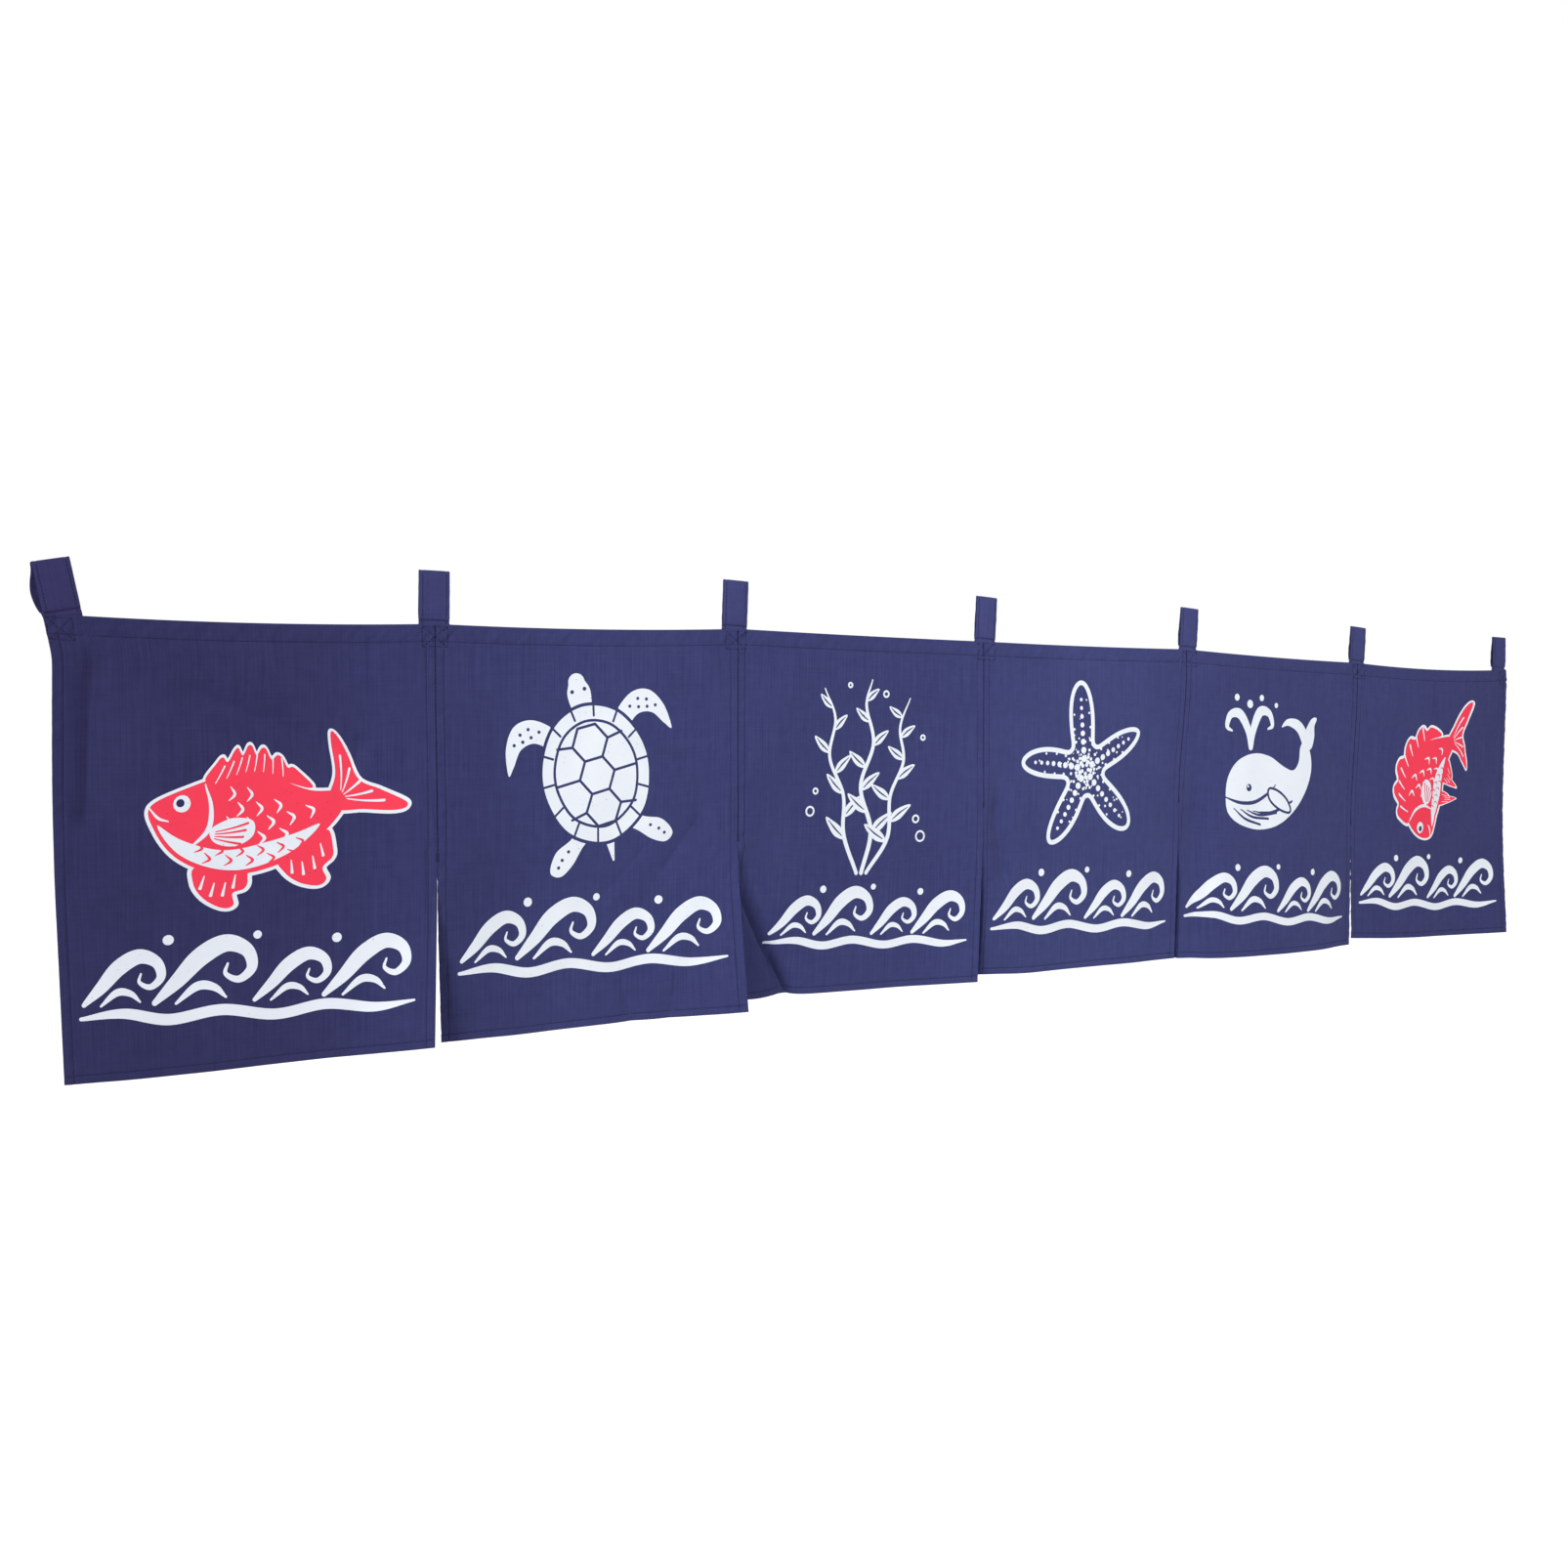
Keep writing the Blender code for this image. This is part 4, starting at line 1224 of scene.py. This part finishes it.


def ink_material(name, full, thin_shaded, missed):
    made, tree, shader = new_material(name, roughness=0.62, sheen=0.05)
    places, clouds = woven(tree, shader, WEAVE_DEPTH / 2)
    ink = use_group(tree, film, {"Cloth": places, "Missed": missed})
    # The ink is painted brighter along the middle of the curtain and darker at its ends, so its thin
    # colour is partly thin ink and partly painted shade.
    body_and_light = calculate(tree, "MULTIPLY", ink.outputs["Mottle"], BODY_SHARES[0])
    painted_light_share = clouds.outputs["Fade"]
    body_and_light = calculate(tree, "MULTIPLY_ADD", painted_light_share, BODY_SHARES[1], body_and_light)
    body = mix_colours(tree, body_and_light, thin_shaded, full)
    bare = dyed(tree, clouds, NAVY_DARK, NAVY_PALE)
    colour = mix_colours(tree, ink.outputs["Cover"], bare, body)
    tree.links.new(colour, shader.inputs["Base Color"])
    rough = add_node(tree, "MapRange", {
        "Value": ink.outputs["Mottle"], "To Min": 0.70, "To Max": 0.52,
    })
    tree.links.new(rough.outputs["Result"], shader.inputs["Roughness"])
    return made


white_ink = ink_material("white_screen_ink", WHITE_INK, WHITE_INK_THIN_SHADED, 0.33)
red_ink = ink_material("red_screen_ink", RED_INK, RED_INK_THIN_SHADED, 0.34)
INKS = {"bare": 0, "white": 1, "red": 2}
PANEL_MATERIALS = (navy_cloth, white_ink, red_ink)
print("materials:", [made.name for made in bpy.data.materials])

# %% [markdown]
# ## The floor
# The floor only has to be there, pale and plain. It lies far enough below for the curtain's shadow
# to fall outside the picture. It glows for the camera alone, so that no horizon shows against the
# white world and the cloth isn't lit from below.
# %% Floor
FLOOR_DROP = 1.3
FLOOR_HALF = 12.0
floor_mesh = bpy.data.meshes.new("floor")
signs = ((-1, -1), (1, -1), (1, 1), (-1, 1))
corners = [(x * FLOOR_HALF, y * FLOOR_HALF, -FLOOR_DROP) for x, y in signs]
floor_mesh.from_pydata(corners, [], [(0, 1, 2, 3)])
floor = bpy.data.objects.new("floor", floor_mesh)
scene.collection.objects.link(floor)
pale = bpy.data.materials.new("pale_floor")
pale.use_nodes = True
pale_shader = pale.node_tree.nodes["Principled BSDF"]
pale_shader.inputs["Base Color"].default_value = (0.60, 0.60, 0.60, 1.0)
pale_shader.inputs["Roughness"].default_value = 0.9
pale_shader.inputs["Emission Color"].default_value = (1.0, 1.0, 1.0, 1.0)
path = pale.node_tree.nodes.new("ShaderNodeLightPath")
pale.node_tree.links.new(path.outputs["Is Camera Ray"], pale_shader.inputs["Emission Strength"])
floor_mesh.materials.append(pale)

# %% [markdown]
# ## From drawing to cloth
# The print must lie in the cloth, not float over it. So the flat panel is cut into triangles along
# the outlines of the marks, as a stencil cuts it, and each triangle takes the material of the last
# mark that it lies in. Then every corner of every triangle is hung on the folds. The even net
# between the marks keeps the folds smooth, and it is closer where grooves, creases and hems need it.
# %% The net and the stencil
NET = 0.0032
CLOSE_STEPS = (0.0, 0.00025, 0.0006, 0.0011, 0.0019)  # beside an edge
GROOVE_STEPS = (-0.0012, -0.0006, 0.0, 0.0006, 0.0012)  # beside a row of stitches
CREASE_STEPS = (-0.0036, -0.0022, -0.0010, 0.0, 0.0010, 0.0022, 0.0036)  # beside a crease
CREASE_NET = 0.0022  # along it
BEND_ROW = 0.0046  # from the edge: where a curled edge bends
BOX_NET = 0.0006
BOX_PATCH = 0.018  # how far from a seam the net stays close
CLEAR_OF_CLOSE = 0.0006  # a point of the even net nearer to a closer one is dropped
CLEAR_OF_MARKS = 0.0007  # and any point nearer to an outline
SINKS = 0.02  # how far over the hem the net's level lines have all come down to it


def net_places(length, rows):
    """Places of the net's lines from 0 to length, closer by the edges and by rows of stitches."""
    places = list(CLOSE_STEPS) + [length - step for step in CLOSE_STEPS]
    for row in rows:
        places += [row + step for step in GROOVE_STEPS]
    even = np.arange(NET, length - NET / 2, NET)
    taken = np.array(places)
    places += [place for place in even if np.abs(taken - place).min() > NET * 0.45]
    return np.sort(np.array(places))


print("lines of the net across a plain panel:", len(net_places(PANEL_WIDTH, (SIDE_STITCH,))))


# %% Closer points, and which points lie where
def close_places(panel):
    """Closer points along the panel's creases and under the boxes of stitches."""
    groups = []
    for row in CREASES:
        if row.panel == panel:
            start = np.array((row.top_across, row.top_down))
            run = np.array((row.foot_across, row.foot_down)) - start
            length = math.hypot(*run)
            aside = np.array((run[1], -run[0])) / length
            shares = np.linspace(0, 1, int(length / CREASE_NET))[:, None]
            groups += [start + run * shares + aside * step for step in CREASE_STEPS]
    patch = np.mgrid[0:BOX_PATCH:BOX_NET, 0:BOX_FOOT + 0.002:BOX_NET].reshape(2, -1).T
    groups += [patch, (PANEL_WIDTH, 0) + patch * (-1, 1)]
    places = np.concatenate(groups)
    edge = np.minimum(places[:, 0], PANEL_WIDTH - places[:, 0])
    edge = np.minimum(edge, np.minimum(places[:, 1], drop_at(panel, places[:, 0]) - places[:, 1]))
    return places[edge > CLOSE_STEPS[-1]]


def clear_of(places, others, reach):
    """Which places have none of the others within about reach."""
    taken = {tuple(cell) for cell in np.floor(others / reach).astype(int).tolist()}
    around = [(i, j) for i in (-1, 0, 1) for j in (-1, 0, 1)]
    cells = np.floor(places / reach).astype(int).tolist()
    return np.array([not any((x + i, y + j) in taken for i, j in around) for x, y in cells])


def inside(outline, places):
    """Which places lie inside an outline: the outline winds round them."""
    mask = np.all((places > outline.min(axis=0)) & (places < outline.max(axis=0)), axis=1)
    near_places = places[mask]
    if not len(near_places):
        return mask
    winds = np.zeros(len(near_places), int)
    for (x0, y0), (x1, y1) in zip(outline, np.roll(outline, -1, axis=0)):
        cross = (x1 - x0) * (near_places[:, 1] - y0) - (near_places[:, 0] - x0) * (y1 - y0)
        winds += (y0 <= near_places[:, 1]) & (near_places[:, 1] < y1) & (cross > 0)
        winds -= (y1 <= near_places[:, 1]) & (near_places[:, 1] < y0) & (cross < 0)
    mask[mask] = winds != 0
    return mask


print("closer points on panel 3:", len(close_places(3)))


# %% Cut one panel
def cut_panel(panel):
    """The flat panel as (places in metres, triangles, ink of each triangle)."""
    rows = (BEND_ROW, SIDE_STITCH, SIDE_HEM)
    acrosses = net_places(PANEL_WIDTH, (*rows, *(PANEL_WIDTH - row for row in rows)))
    middle_drop = float(drop_at(panel, PANEL_WIDTH / 2))
    downs = net_places(middle_drop, (HEADER_STITCH, HEADER_HEIGHT, middle_drop - FOOT_STITCH,
                                     middle_drop - FOOT_HEM))
    grid_across, grid_down = np.meshgrid(acrosses, downs, indexing="ij")
    # rows near the foot keep their distance from the hem, which isn't quite level
    sunk = smooth((grid_down - HEADER_HEIGHT) / (middle_drop - HEADER_HEIGHT - SINKS))
    grid_down = grid_down + (drop_at(panel, grid_across) - middle_drop) * sunk
    columns, rows = grid_across.shape
    index = np.arange(columns * rows).reshape(columns, rows)
    rim = np.concatenate((index[:, 0], index[-1, 1:], index[-2::-1, -1], index[0, -2:0:-1]))
    places = np.stack((grid_across.ravel(), grid_down.ravel()), axis=1)
    marks = [(ink, outline / 1000) for ink, outline in printed(panel)]
    drawn = np.concatenate([outline for _, outline in marks])
    closer = close_places(panel)
    keep = clear_of(places, closer, CLEAR_OF_CLOSE) & clear_of(places, drawn, CLEAR_OF_MARKS)
    keep[rim] = True
    closer = closer[clear_of(closer, drawn, CLEAR_OF_MARKS)]
    renumber = np.cumsum(keep) - 1
    points = [places[keep], closer]
    edges = list(zip(renumber[rim], renumber[np.roll(rim, -1)]))
    count = int(keep.sum()) + len(closer)
    for _, outline in marks:
        ring = np.arange(count, count + len(outline))
        edges += list(zip(ring, np.roll(ring, -1)))
        points.append(outline)
        count += len(outline)
    points = np.concatenate(points) * 1000
    made = delaunay_2d_cdt(
        [Vector(point) for point in points.tolist()],
        [(int(a), int(b)) for a, b in edges], [], 0, 1e-4,
    )
    flat_places = np.array([place[:] for place in made[0]]) / 1000
    triangles = np.array([face[:3] for face in made[2]])
    centres = flat_places[triangles].mean(axis=1)
    kept = inside(places[rim], centres)
    triangles, centres = triangles[kept], centres[kept]
    inks = np.zeros(len(triangles), int)
    for ink, outline in marks:
        inks[inside(outline, centres)] = INKS[ink]
    return flat_places, triangles, inks


print("panel 1 is printed with", len(printed(1)), "marks and panel 4 with", len(printed(4)))

# %% [markdown]
# ## A piece from a mesh
# Every piece is made in the same way once its faces are known. Its places on the flat cloth become
# a map, which the materials read, and its faces are shaded smooth but for the sharp ones.
# %% Map, materials and shading
HARD_TURN = 60  # degrees between two faces of cloth, and past that the edge between them is sharp
HARD_STRAP_TURN = 70


def new_piece(mesh, flat_places, materials, sharp_past=None):
    """An object of the mesh's own name, with the place on flat cloth of each of its points."""
    corner_points = np.empty(len(mesh.loops), int)
    mesh.loops.foreach_get("vertex_index", corner_points)
    mesh.uv_layers.new(name="flat")
    mesh.uv_layers["flat"].data.foreach_set("uv", flat_places[corner_points].ravel())
    for made in materials:
        mesh.materials.append(made)
    mesh.shade_smooth()
    if sharp_past:
        mesh.set_sharp_from_angle(angle=math.radians(sharp_past))
    piece = bpy.data.objects.new(mesh.name, mesh)
    scene.collection.objects.link(piece)
    return piece


print("a sheet has", len(PANEL_MATERIALS), "materials")

# %% [markdown]
# ## Two faces and a rim
# A sheet of cloth has two faces and a rim. The front lies on the hang, and the back one thickness
# behind it, more where a hem or the header is turned over. At the very edge both faces come together
# in a small round, as a folded edge does.
# %% A closed sheet
EDGE_ROUND = 0.0009
RIM_HALF = 0.0001  # half of the thickness that is left at the very edge
OVERLAP = 0.00008  # by which sewn edges pass each other, so that no light shows through a seam


def layers(panel, across, down):
    """How thick the cloth is, with its turned hems and its header."""
    edge = np.minimum(across, PANEL_WIDTH - across)
    foot = drop_at(panel, across) - down
    inside_hem = np.minimum(edge - SIDE_HEM, foot - FOOT_HEM)
    thick = HEM + (CLOTH - HEM) * np.clip(inside_hem / HEM_STEP, 0, 1)
    below_header = np.clip((down - HEADER_HEIGHT) / HEM_STEP, 0, 1)
    return HEADER + (thick - HEADER) * below_header


def closed_sheet(name, front, back, triangles, inks, flat_places):
    """A piece of two like faces of triangles and the rim between them."""
    count = len(front)
    sides = np.concatenate((triangles[:, (0, 1)], triangles[:, (1, 2)], triangles[:, (2, 0)]))
    keys = np.sort(sides, axis=1)
    _, first, times = np.unique(keys, axis=0, return_index=True, return_counts=True)
    rim = sides[first[times == 1]]
    rim_faces = np.stack((rim[:, 1], rim[:, 0], rim[:, 0] + count, rim[:, 1] + count), axis=1)
    faces = [*triangles.tolist(), *(triangles[:, ::-1] + count).tolist(), *rim_faces.tolist()]
    mesh = bpy.data.meshes.new(name)
    mesh.from_pydata(np.concatenate((front, back)).tolist(), [], faces)
    looks = np.concatenate((inks, np.zeros(len(triangles) + len(rim_faces), int)))
    mesh.polygons.foreach_set("material_index", looks)
    both = np.concatenate((flat_places, flat_places))
    return new_piece(mesh, both, PANEL_MATERIALS, HARD_TURN)


print("cloth is", CLOTH * 1000, "mm thick, and its header", HEADER * 1000, "mm")


# %% Hang a cut panel
def hung_panel(panel):
    flat_places, triangles, inks = cut_panel(panel)
    # the net's triangles have to face the front, which is the near side of across times down
    a, b, c = (flat_places[triangles[:, i]] for i in range(3))
    turned = (b - a)[:, 0] * (c - a)[:, 1] - (b - a)[:, 1] * (c - a)[:, 0] > 0
    triangles[turned] = triangles[turned][:, ::-1]
    across, down = flat_places.T
    place = hang(panel, across, down)
    normal = facing(panel, across, down)
    thick = layers(panel, across, down)
    edge = np.minimum(np.minimum(across, PANEL_WIDTH - across), drop_at(panel, across) - down)
    edge = np.maximum(np.minimum(edge, down + EDGE_ROUND / 4), 0)
    tuck = 1 - np.clip(edge / EDGE_ROUND, 0, 1)
    rounding = (1 - np.sqrt(1 - tuck**2)) * (thick / 2 - RIM_HALF)
    pucker = relief(panel, across, down)
    for line, beside, way in ((panel - 1, across, -1), (panel, PANEL_WIDTH - across, 1)):
        sewn = (beside < CLOSE_STEPS[1]) & (down < SEAMS[line].sewn)
        place[sewn, 0] += way * OVERLAP
    front = place + normal * (pucker - CLOTH / 2 + rounding)[:, None]
    back = place + normal * (pucker - CLOTH / 2 + thick - rounding)[:, None]
    shown = flat_places + (PANEL_WIDTH * (panel - 1), 0)
    return closed_sheet(f"cloth_{panel}", front, back, triangles, inks, shown)


for panel in range(1, PANEL_COUNT + 1):
    piece = hung_panel(panel)
    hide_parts(f"panel_{panel}")
    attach(piece, "root")
    print(piece.name, "has", len(piece.data.polygons), "faces")

# %% [markdown]
# ## The strap loops
# Each loop is one strap, folded over where a rod would go, with both ends sewn together behind the
# header. The strap is cloth folded lengthwise and pressed, so it is flat with soft edges. It could
# be a plain box bent twice, but its section decides how its edges catch the light, so a rounded
# section is swept along the strap's middle line.
# %% A strap's middle line, from its front end over the fold to its back end
LEG_STEPS = 60
FOLD_STEPS = 10
TAIL_STEPS = 12


def leg(line, bulge, side):
    """The middle of one leg from foot to fold, as rows of (y, height over the header's top)."""
    height = LOOPS[line].height
    end = height - STRAP / 2 - FOLD_RADIUS
    knots = (
        (STRAP / 2, 0),
        (bulge, LOOPS[line].bulge_at * height),
        (FOLD_RADIUS, end - LEG_TOP_SHARE * height),
        (FOLD_RADIUS, end),
    )
    knots = [Vector((side * y, z)) for y, z in knots]
    return np.array(interpolate_bezier(*knots, LEG_STEPS))[:, :2]


def strap_line(line):
    """The strap's middle from the front end behind the header, over the fold, to the back end."""
    row = LOOPS[line]
    turns = np.linspace(0, math.pi, FOLD_STEPS + 2)[1:-1]
    fold_centre = row.height - STRAP / 2 - FOLD_RADIUS
    fold = np.stack((-np.cos(turns) * FOLD_RADIUS, fold_centre + np.sin(turns) * FOLD_RADIUS), 1)
    tail = np.linspace(-TAIL, -0.001, TAIL_STEPS)
    front = np.stack((np.full_like(tail, -STRAP / 2), tail), axis=1)
    back = np.stack((np.full_like(tail, STRAP / 2), tail), axis=1)
    return np.concatenate((front, leg(line, row.front, -1), fold, leg(line, row.back, 1)[::-1],
                           back[::-1]))


print("points along a strap:", len(strap_line(0)))

# %% [markdown]
# Where it is free, a strap isn't quite flat. It bends sharply just over the header, its middle
# stands out a little, and a row of stitches runs in a groove along each side.
# %% A strap's section, and where each of its points lies
SECTION_ACROSS = 22
BENDS = ((0.0023, 0.0013, -0.00170), (0.0002, 0.0011, 0.00070))  # rise over the header, reach, out
CAMBER = 0.0006  # how far a free strap's middle stands out
BUCKLE = 0.00035
BUCKLE_WAVES = (0.011, 0.019, 0.037)
STRAP_ROWS = (-0.0106, 0.0106)  # rows of stitches, from the strap's middle
ROW_GROOVE = 0.00022
SETTLES = 0.012  # over how much of its height a leg comes free of the header, and of the fold


def section():
    """The strap's section as (across, out) shares, closed, with round edges."""
    turns = np.linspace(-math.pi / 2, math.pi / 2, 7)
    half_width, half_thick = STRAP_WIDTH / 2, STRAP / 2 - 0.00005
    right = np.stack((half_width - half_thick + half_thick * np.cos(turns),
                      half_thick * np.sin(turns)), axis=1)
    across = np.linspace(half_width - half_thick, -half_width + half_thick, SECTION_ACROSS)[1:-1]
    top = np.stack((across, np.full_like(across, half_thick)), axis=1)
    return np.concatenate((right, top, -right, -top))


def strap_places(line, across, out):
    """Points of a strap: a row for each step along it, and how far along it each row lies."""
    row = LOOPS[line]
    middle = strap_line(line)
    along = np.gradient(middle, axis=0)
    along /= np.linalg.norm(along, axis=1, keepdims=True)
    outward = np.stack((-along[:, 1], along[:, 0]), axis=1)
    run = np.concatenate(((0,), np.cumsum(np.linalg.norm(np.diff(middle, axis=0), axis=1))))
    height = middle[:, 1]
    bends = sum(depth * near(height - rise, reach) for rise, reach, depth in BENDS)
    free = smooth(height / SETTLES) * smooth((row.height - height) / SETTLES)
    belly = CAMBER * (1 - (across / (STRAP_WIDTH / 2)) ** 2)
    buckle = BUCKLE * ripple(run[:, None] + 0.4 * across, BUCKLE_WAVES, line + 3)
    groove = sum(ROW_GROOVE * near(across - place, GROOVE_REACH) for place in STRAP_ROWS)
    lift = out + free[:, None] * (belly + buckle) + bends[:, None] - groove * np.sign(out)
    y = middle[:, :1] + outward[:, :1] * lift
    z = middle[:, 1:] + outward[:, 1:] * lift
    x = across - row.twist * np.maximum(middle[:, :1], 0)
    lean = math.radians(row.lean)
    world_x = seam_x(line) + row.aside + x * math.cos(lean) + z * math.sin(lean)
    world_z = header_z(line) - x * math.sin(lean) + z * math.cos(lean)
    return np.stack((world_x, y + 0 * x, world_z), axis=-1), run


print("sides of a strap's section:", len(section()))


# %% Sweep the section along the line
def ring_faces(rings, sides):
    """The faces of a tube: the quads between its rings, and its two ends."""
    faces = []
    for start in range(0, (rings - 1) * sides, sides):
        for i in range(sides):
            a, b = start + i, start + (i + 1) % sides
            faces.append((a, b, b + sides, a + sides))
    faces.append(tuple(range(sides))[::-1])
    faces.append(tuple(range((rings - 1) * sides, rings * sides)))
    return faces


def strap_piece(line):
    """A strap, and how long its cloth is."""
    across, out = section().T
    places, run = strap_places(line, across[None, :], out[None, :])
    mesh = bpy.data.meshes.new(f"strap_{line + 1}")
    mesh.from_pydata(places.reshape(-1, 3).tolist(), [], ring_faces(*places.shape[:2]))
    along_curtain = across[None, :] + PANEL_WIDTH * line
    flat_places = np.stack(np.broadcast_arrays(along_curtain, run[:, None]), axis=-1)
    piece = new_piece(mesh, flat_places.reshape(-1, 2), [navy_strap], HARD_STRAP_TURN)
    return piece, run[-1]


for line in range(PANEL_COUNT + 1):
    piece, length = strap_piece(line)
    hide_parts(f"loop_{line + 1}")
    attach(piece, "root")
    print(piece.name, "is a strap", round(float(length) * 1000), "mm long")

# %% [markdown]
# ## Stitches
# A lockstitch row is a line of short threads that dive into the cloth at both ends, with a second
# line like it on the back. Each stitch here is a small spindle of thread laid along its row, on
# both faces. A dashed line in the material would be cheaper, but real stitches throw small shadows
# and break the groove's straight edge.
# %% Rows of needle holes
STITCH = 0.0027  # from hole to hole
THREAD_ROUND = 0.00029  # its radius
SPINDLE = ((-0.47, 0.25), (-0.25, 0.96), (0.25, 0.96), (0.47, 0.25))  # shares along it and round it
SPINDLE_SIDES = 6
SUNK = 0.75  # how far a spindle lies in the cloth, as a share of its radius
TWIST_STEP = 0.0001  # from side to side of a spindle on the map that its twist is read from
ROW_ENDS = 0.001  # how far from the cloth's edge a row stops


def face_of(panel, across, down, front):
    """Points on the front or back face of the hung cloth, and the way out of it."""
    normal = facing(panel, across, down)
    depth = relief(panel, across, down) - CLOTH / 2
    if not front:
        depth = depth + layers(panel, across, down)
    out = -normal if front else normal
    return hang(panel, across, down) + normal * depth[:, None], out


def row_holes(start, end):
    """Needle holes along a straight row, from (across, down) to (across, down)."""
    start, end = np.array(start), np.array(end)
    count = max(2, int(round(np.linalg.norm(end - start) / STITCH)) + 1)
    return start + (end - start) * np.linspace(0, 1, count)[:, None]


print("a hem's row of", len(row_holes((0, 0), (PANEL_WIDTH, 0))), "holes")


# %% Stitches as spindles of thread
def spindles(points, outs):
    """A spindle of thread from each point to the next: for each stitch, the points of its rings."""
    starts, ends = points[:-1], points[1:]
    out = outs[:-1] + outs[1:]
    along = ends - starts
    length = np.linalg.norm(along, axis=1, keepdims=True)
    along = along / length
    out = out - along * np.sum(out * along, axis=1, keepdims=True)
    out = out / np.linalg.norm(out, axis=1, keepdims=True)
    aside = np.cross(along, out)
    middle = (starts + ends) / 2
    turns = np.arange(SPINDLE_SIDES) * math.tau / SPINDLE_SIDES
    rings = []
    for share, size in SPINDLE:
        centre = middle + along * length * share + out * THREAD_ROUND * (size - SUNK)
        for turn in turns:
            way = aside * math.cos(turn) + out * math.sin(turn)
            rings.append(centre + way * THREAD_ROUND * size)
    return np.stack(rings, axis=1)


def thread_piece(name, rows):
    """One piece from many rows of (points, outs)."""
    blocks = np.concatenate([spindles(points, outs) for points, outs in rows if len(points) > 1])
    count, size = blocks.shape[:2]
    pattern = ring_faces(len(SPINDLE), SPINDLE_SIDES)
    faces = [tuple(i + n * size for i in face) for n in range(count) for face in pattern]
    mesh = bpy.data.meshes.new(name)
    mesh.from_pydata(blocks.reshape(-1, 3).tolist(), [], faces)
    shares = np.repeat([share * STITCH for share, _ in SPINDLE], SPINDLE_SIDES)
    rounds = np.tile(np.arange(SPINDLE_SIDES) * TWIST_STEP, len(SPINDLE))
    flat_places = np.tile(np.stack((shares, rounds), axis=1), (count, 1))
    piece = new_piece(mesh, flat_places, [navy_thread])
    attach(piece, "root")
    print(name, "has", count, "stitches")


# %% Stitches of the hems and the header
def hem_rows(panel):
    """The straight rows of a panel: header, both side hems and the foot hem."""
    right = PANEL_WIDTH - SIDE_STITCH
    left_foot = float(drop_at(panel, SIDE_STITCH)) - FOOT_STITCH
    right_foot = float(drop_at(panel, right)) - FOOT_STITCH
    return (
        ((ROW_ENDS, HEADER_STITCH), (PANEL_WIDTH - ROW_ENDS, HEADER_STITCH)),
        ((SIDE_STITCH, HEADER_HEIGHT), (SIDE_STITCH, left_foot + FOOT_STITCH - ROW_ENDS)),
        ((right, HEADER_HEIGHT), (right, right_foot + FOOT_STITCH - ROW_ENDS)),
        ((ROW_ENDS, left_foot), (PANEL_WIDTH - ROW_ENDS, right_foot)),
    )


for panel in range(1, PANEL_COUNT + 1):
    rows = []
    for start, end in hem_rows(panel):
        holes = row_holes(start, end)
        if start[1] > FREE_BY and end[1] > FREE_BY:  # the foot row follows an arched hem
            holes[:, 1] = drop_at(panel, holes[:, 0]) - FOOT_STITCH
        for front in (True, False):
            rows.append(face_of(panel, holes[:, 0], holes[:, 1], front))
    thread_piece(f"hem_stitches_{panel}", rows)

# %% [markdown]
# ## Where the straps are sewn on
# A square of stitches with a cross in it goes through the header and both ends of the strap. It
# shows on the front of the cloth, half of it on each of the two panels that meet there.
# %% Box and cross stitches
def across_seam(line, x, down, front):
    """Points on whichever panel lies at x from a seam line."""
    points, outs = np.empty((len(x), 3)), np.empty((len(x), 3))
    for panel, side in ((line, x < 0), (line + 1, x >= 0)):
        if not 1 <= panel <= PANEL_COUNT or not side.any():
            continue
        across = x[side] + (PANEL_WIDTH if panel == line else 0)
        points[side], outs[side] = face_of(panel, across, down[side], front)
    return points, outs


for line in range(PANEL_COUNT + 1):
    rows = []
    for start, end in box_lines(line):
        holes = row_holes(start, end)
        rows.append(across_seam(line, holes[:, 0], holes[:, 1], True))
    thread_piece(f"box_stitches_{line + 1}", rows)

# %% [markdown]
# The strap itself was folded lengthwise and stitched flat along both sides before it was sewn on.
# %% Stitches along the straps
for line in range(PANEL_COUNT + 1):
    across = np.array([STRAP_ROWS])
    outside = np.full((1, 2), STRAP / 2)
    places, run = strap_places(line, across, outside)
    above, _ = strap_places(line, across, outside + THREAD_ROUND)
    holes = np.arange(TAIL, run[-1] - TAIL, STITCH)
    rows = []
    for side in range(2):
        points = np.stack([np.interp(holes, run, places[:, side, i]) for i in range(3)], 1)
        tops = np.stack([np.interp(holes, run, above[:, side, i]) for i in range(3)], 1)
        outs = tops - points
        rows.append((points, outs / np.linalg.norm(outs, axis=1, keepdims=True)))
    thread_piece(f"strap_stitches_{line + 1}", rows)

# %% [markdown]
# ## Closing the seams
# The hemmed panels are joined with their edges touching. A slanting stitch goes over both edges,
# every few millimetres down to where the slit begins, and a few close ones at its end keep it from
# tearing open. On the front it shows less, and a row of small stitches lies in the valley between
# the two edges.
# %% Overhand stitches of the seams
OVERHAND_PITCH = 0.0036
OVERHAND_HALF = 0.0022  # on the back
SHOWING_HALF = 0.0009  # on the front
OVERHAND_SLANT = 0.0008
TACK_ROWS = 6
TACK_PITCH = 0.0012

for line in range(1, PANEL_COUNT):
    rows = []
    sewn = SEAMS[line].sewn
    for down in np.arange(HEADER_HEIGHT + 0.006, sewn - 0.008, OVERHAND_PITCH):
        slant = np.array((down - OVERHAND_SLANT, down + OVERHAND_SLANT))
        for half, front in ((OVERHAND_HALF, False), (SHOWING_HALF, True)):
            rows.append(across_seam(line, np.array((-half, half)), slant, front))
    for i in range(TACK_ROWS):
        level = np.full(2, sewn - TACK_PITCH * i)
        for front in (True, False):
            rows.append(across_seam(line, np.array((-OVERHAND_HALF, OVERHAND_HALF)), level, front))
    valley = row_holes((0.0, 0.002), (0.0, sewn))
    rows.append(across_seam(line, valley[:, 0], valley[:, 1], True))
    thread_piece(f"seam_stitches_{line}", rows)
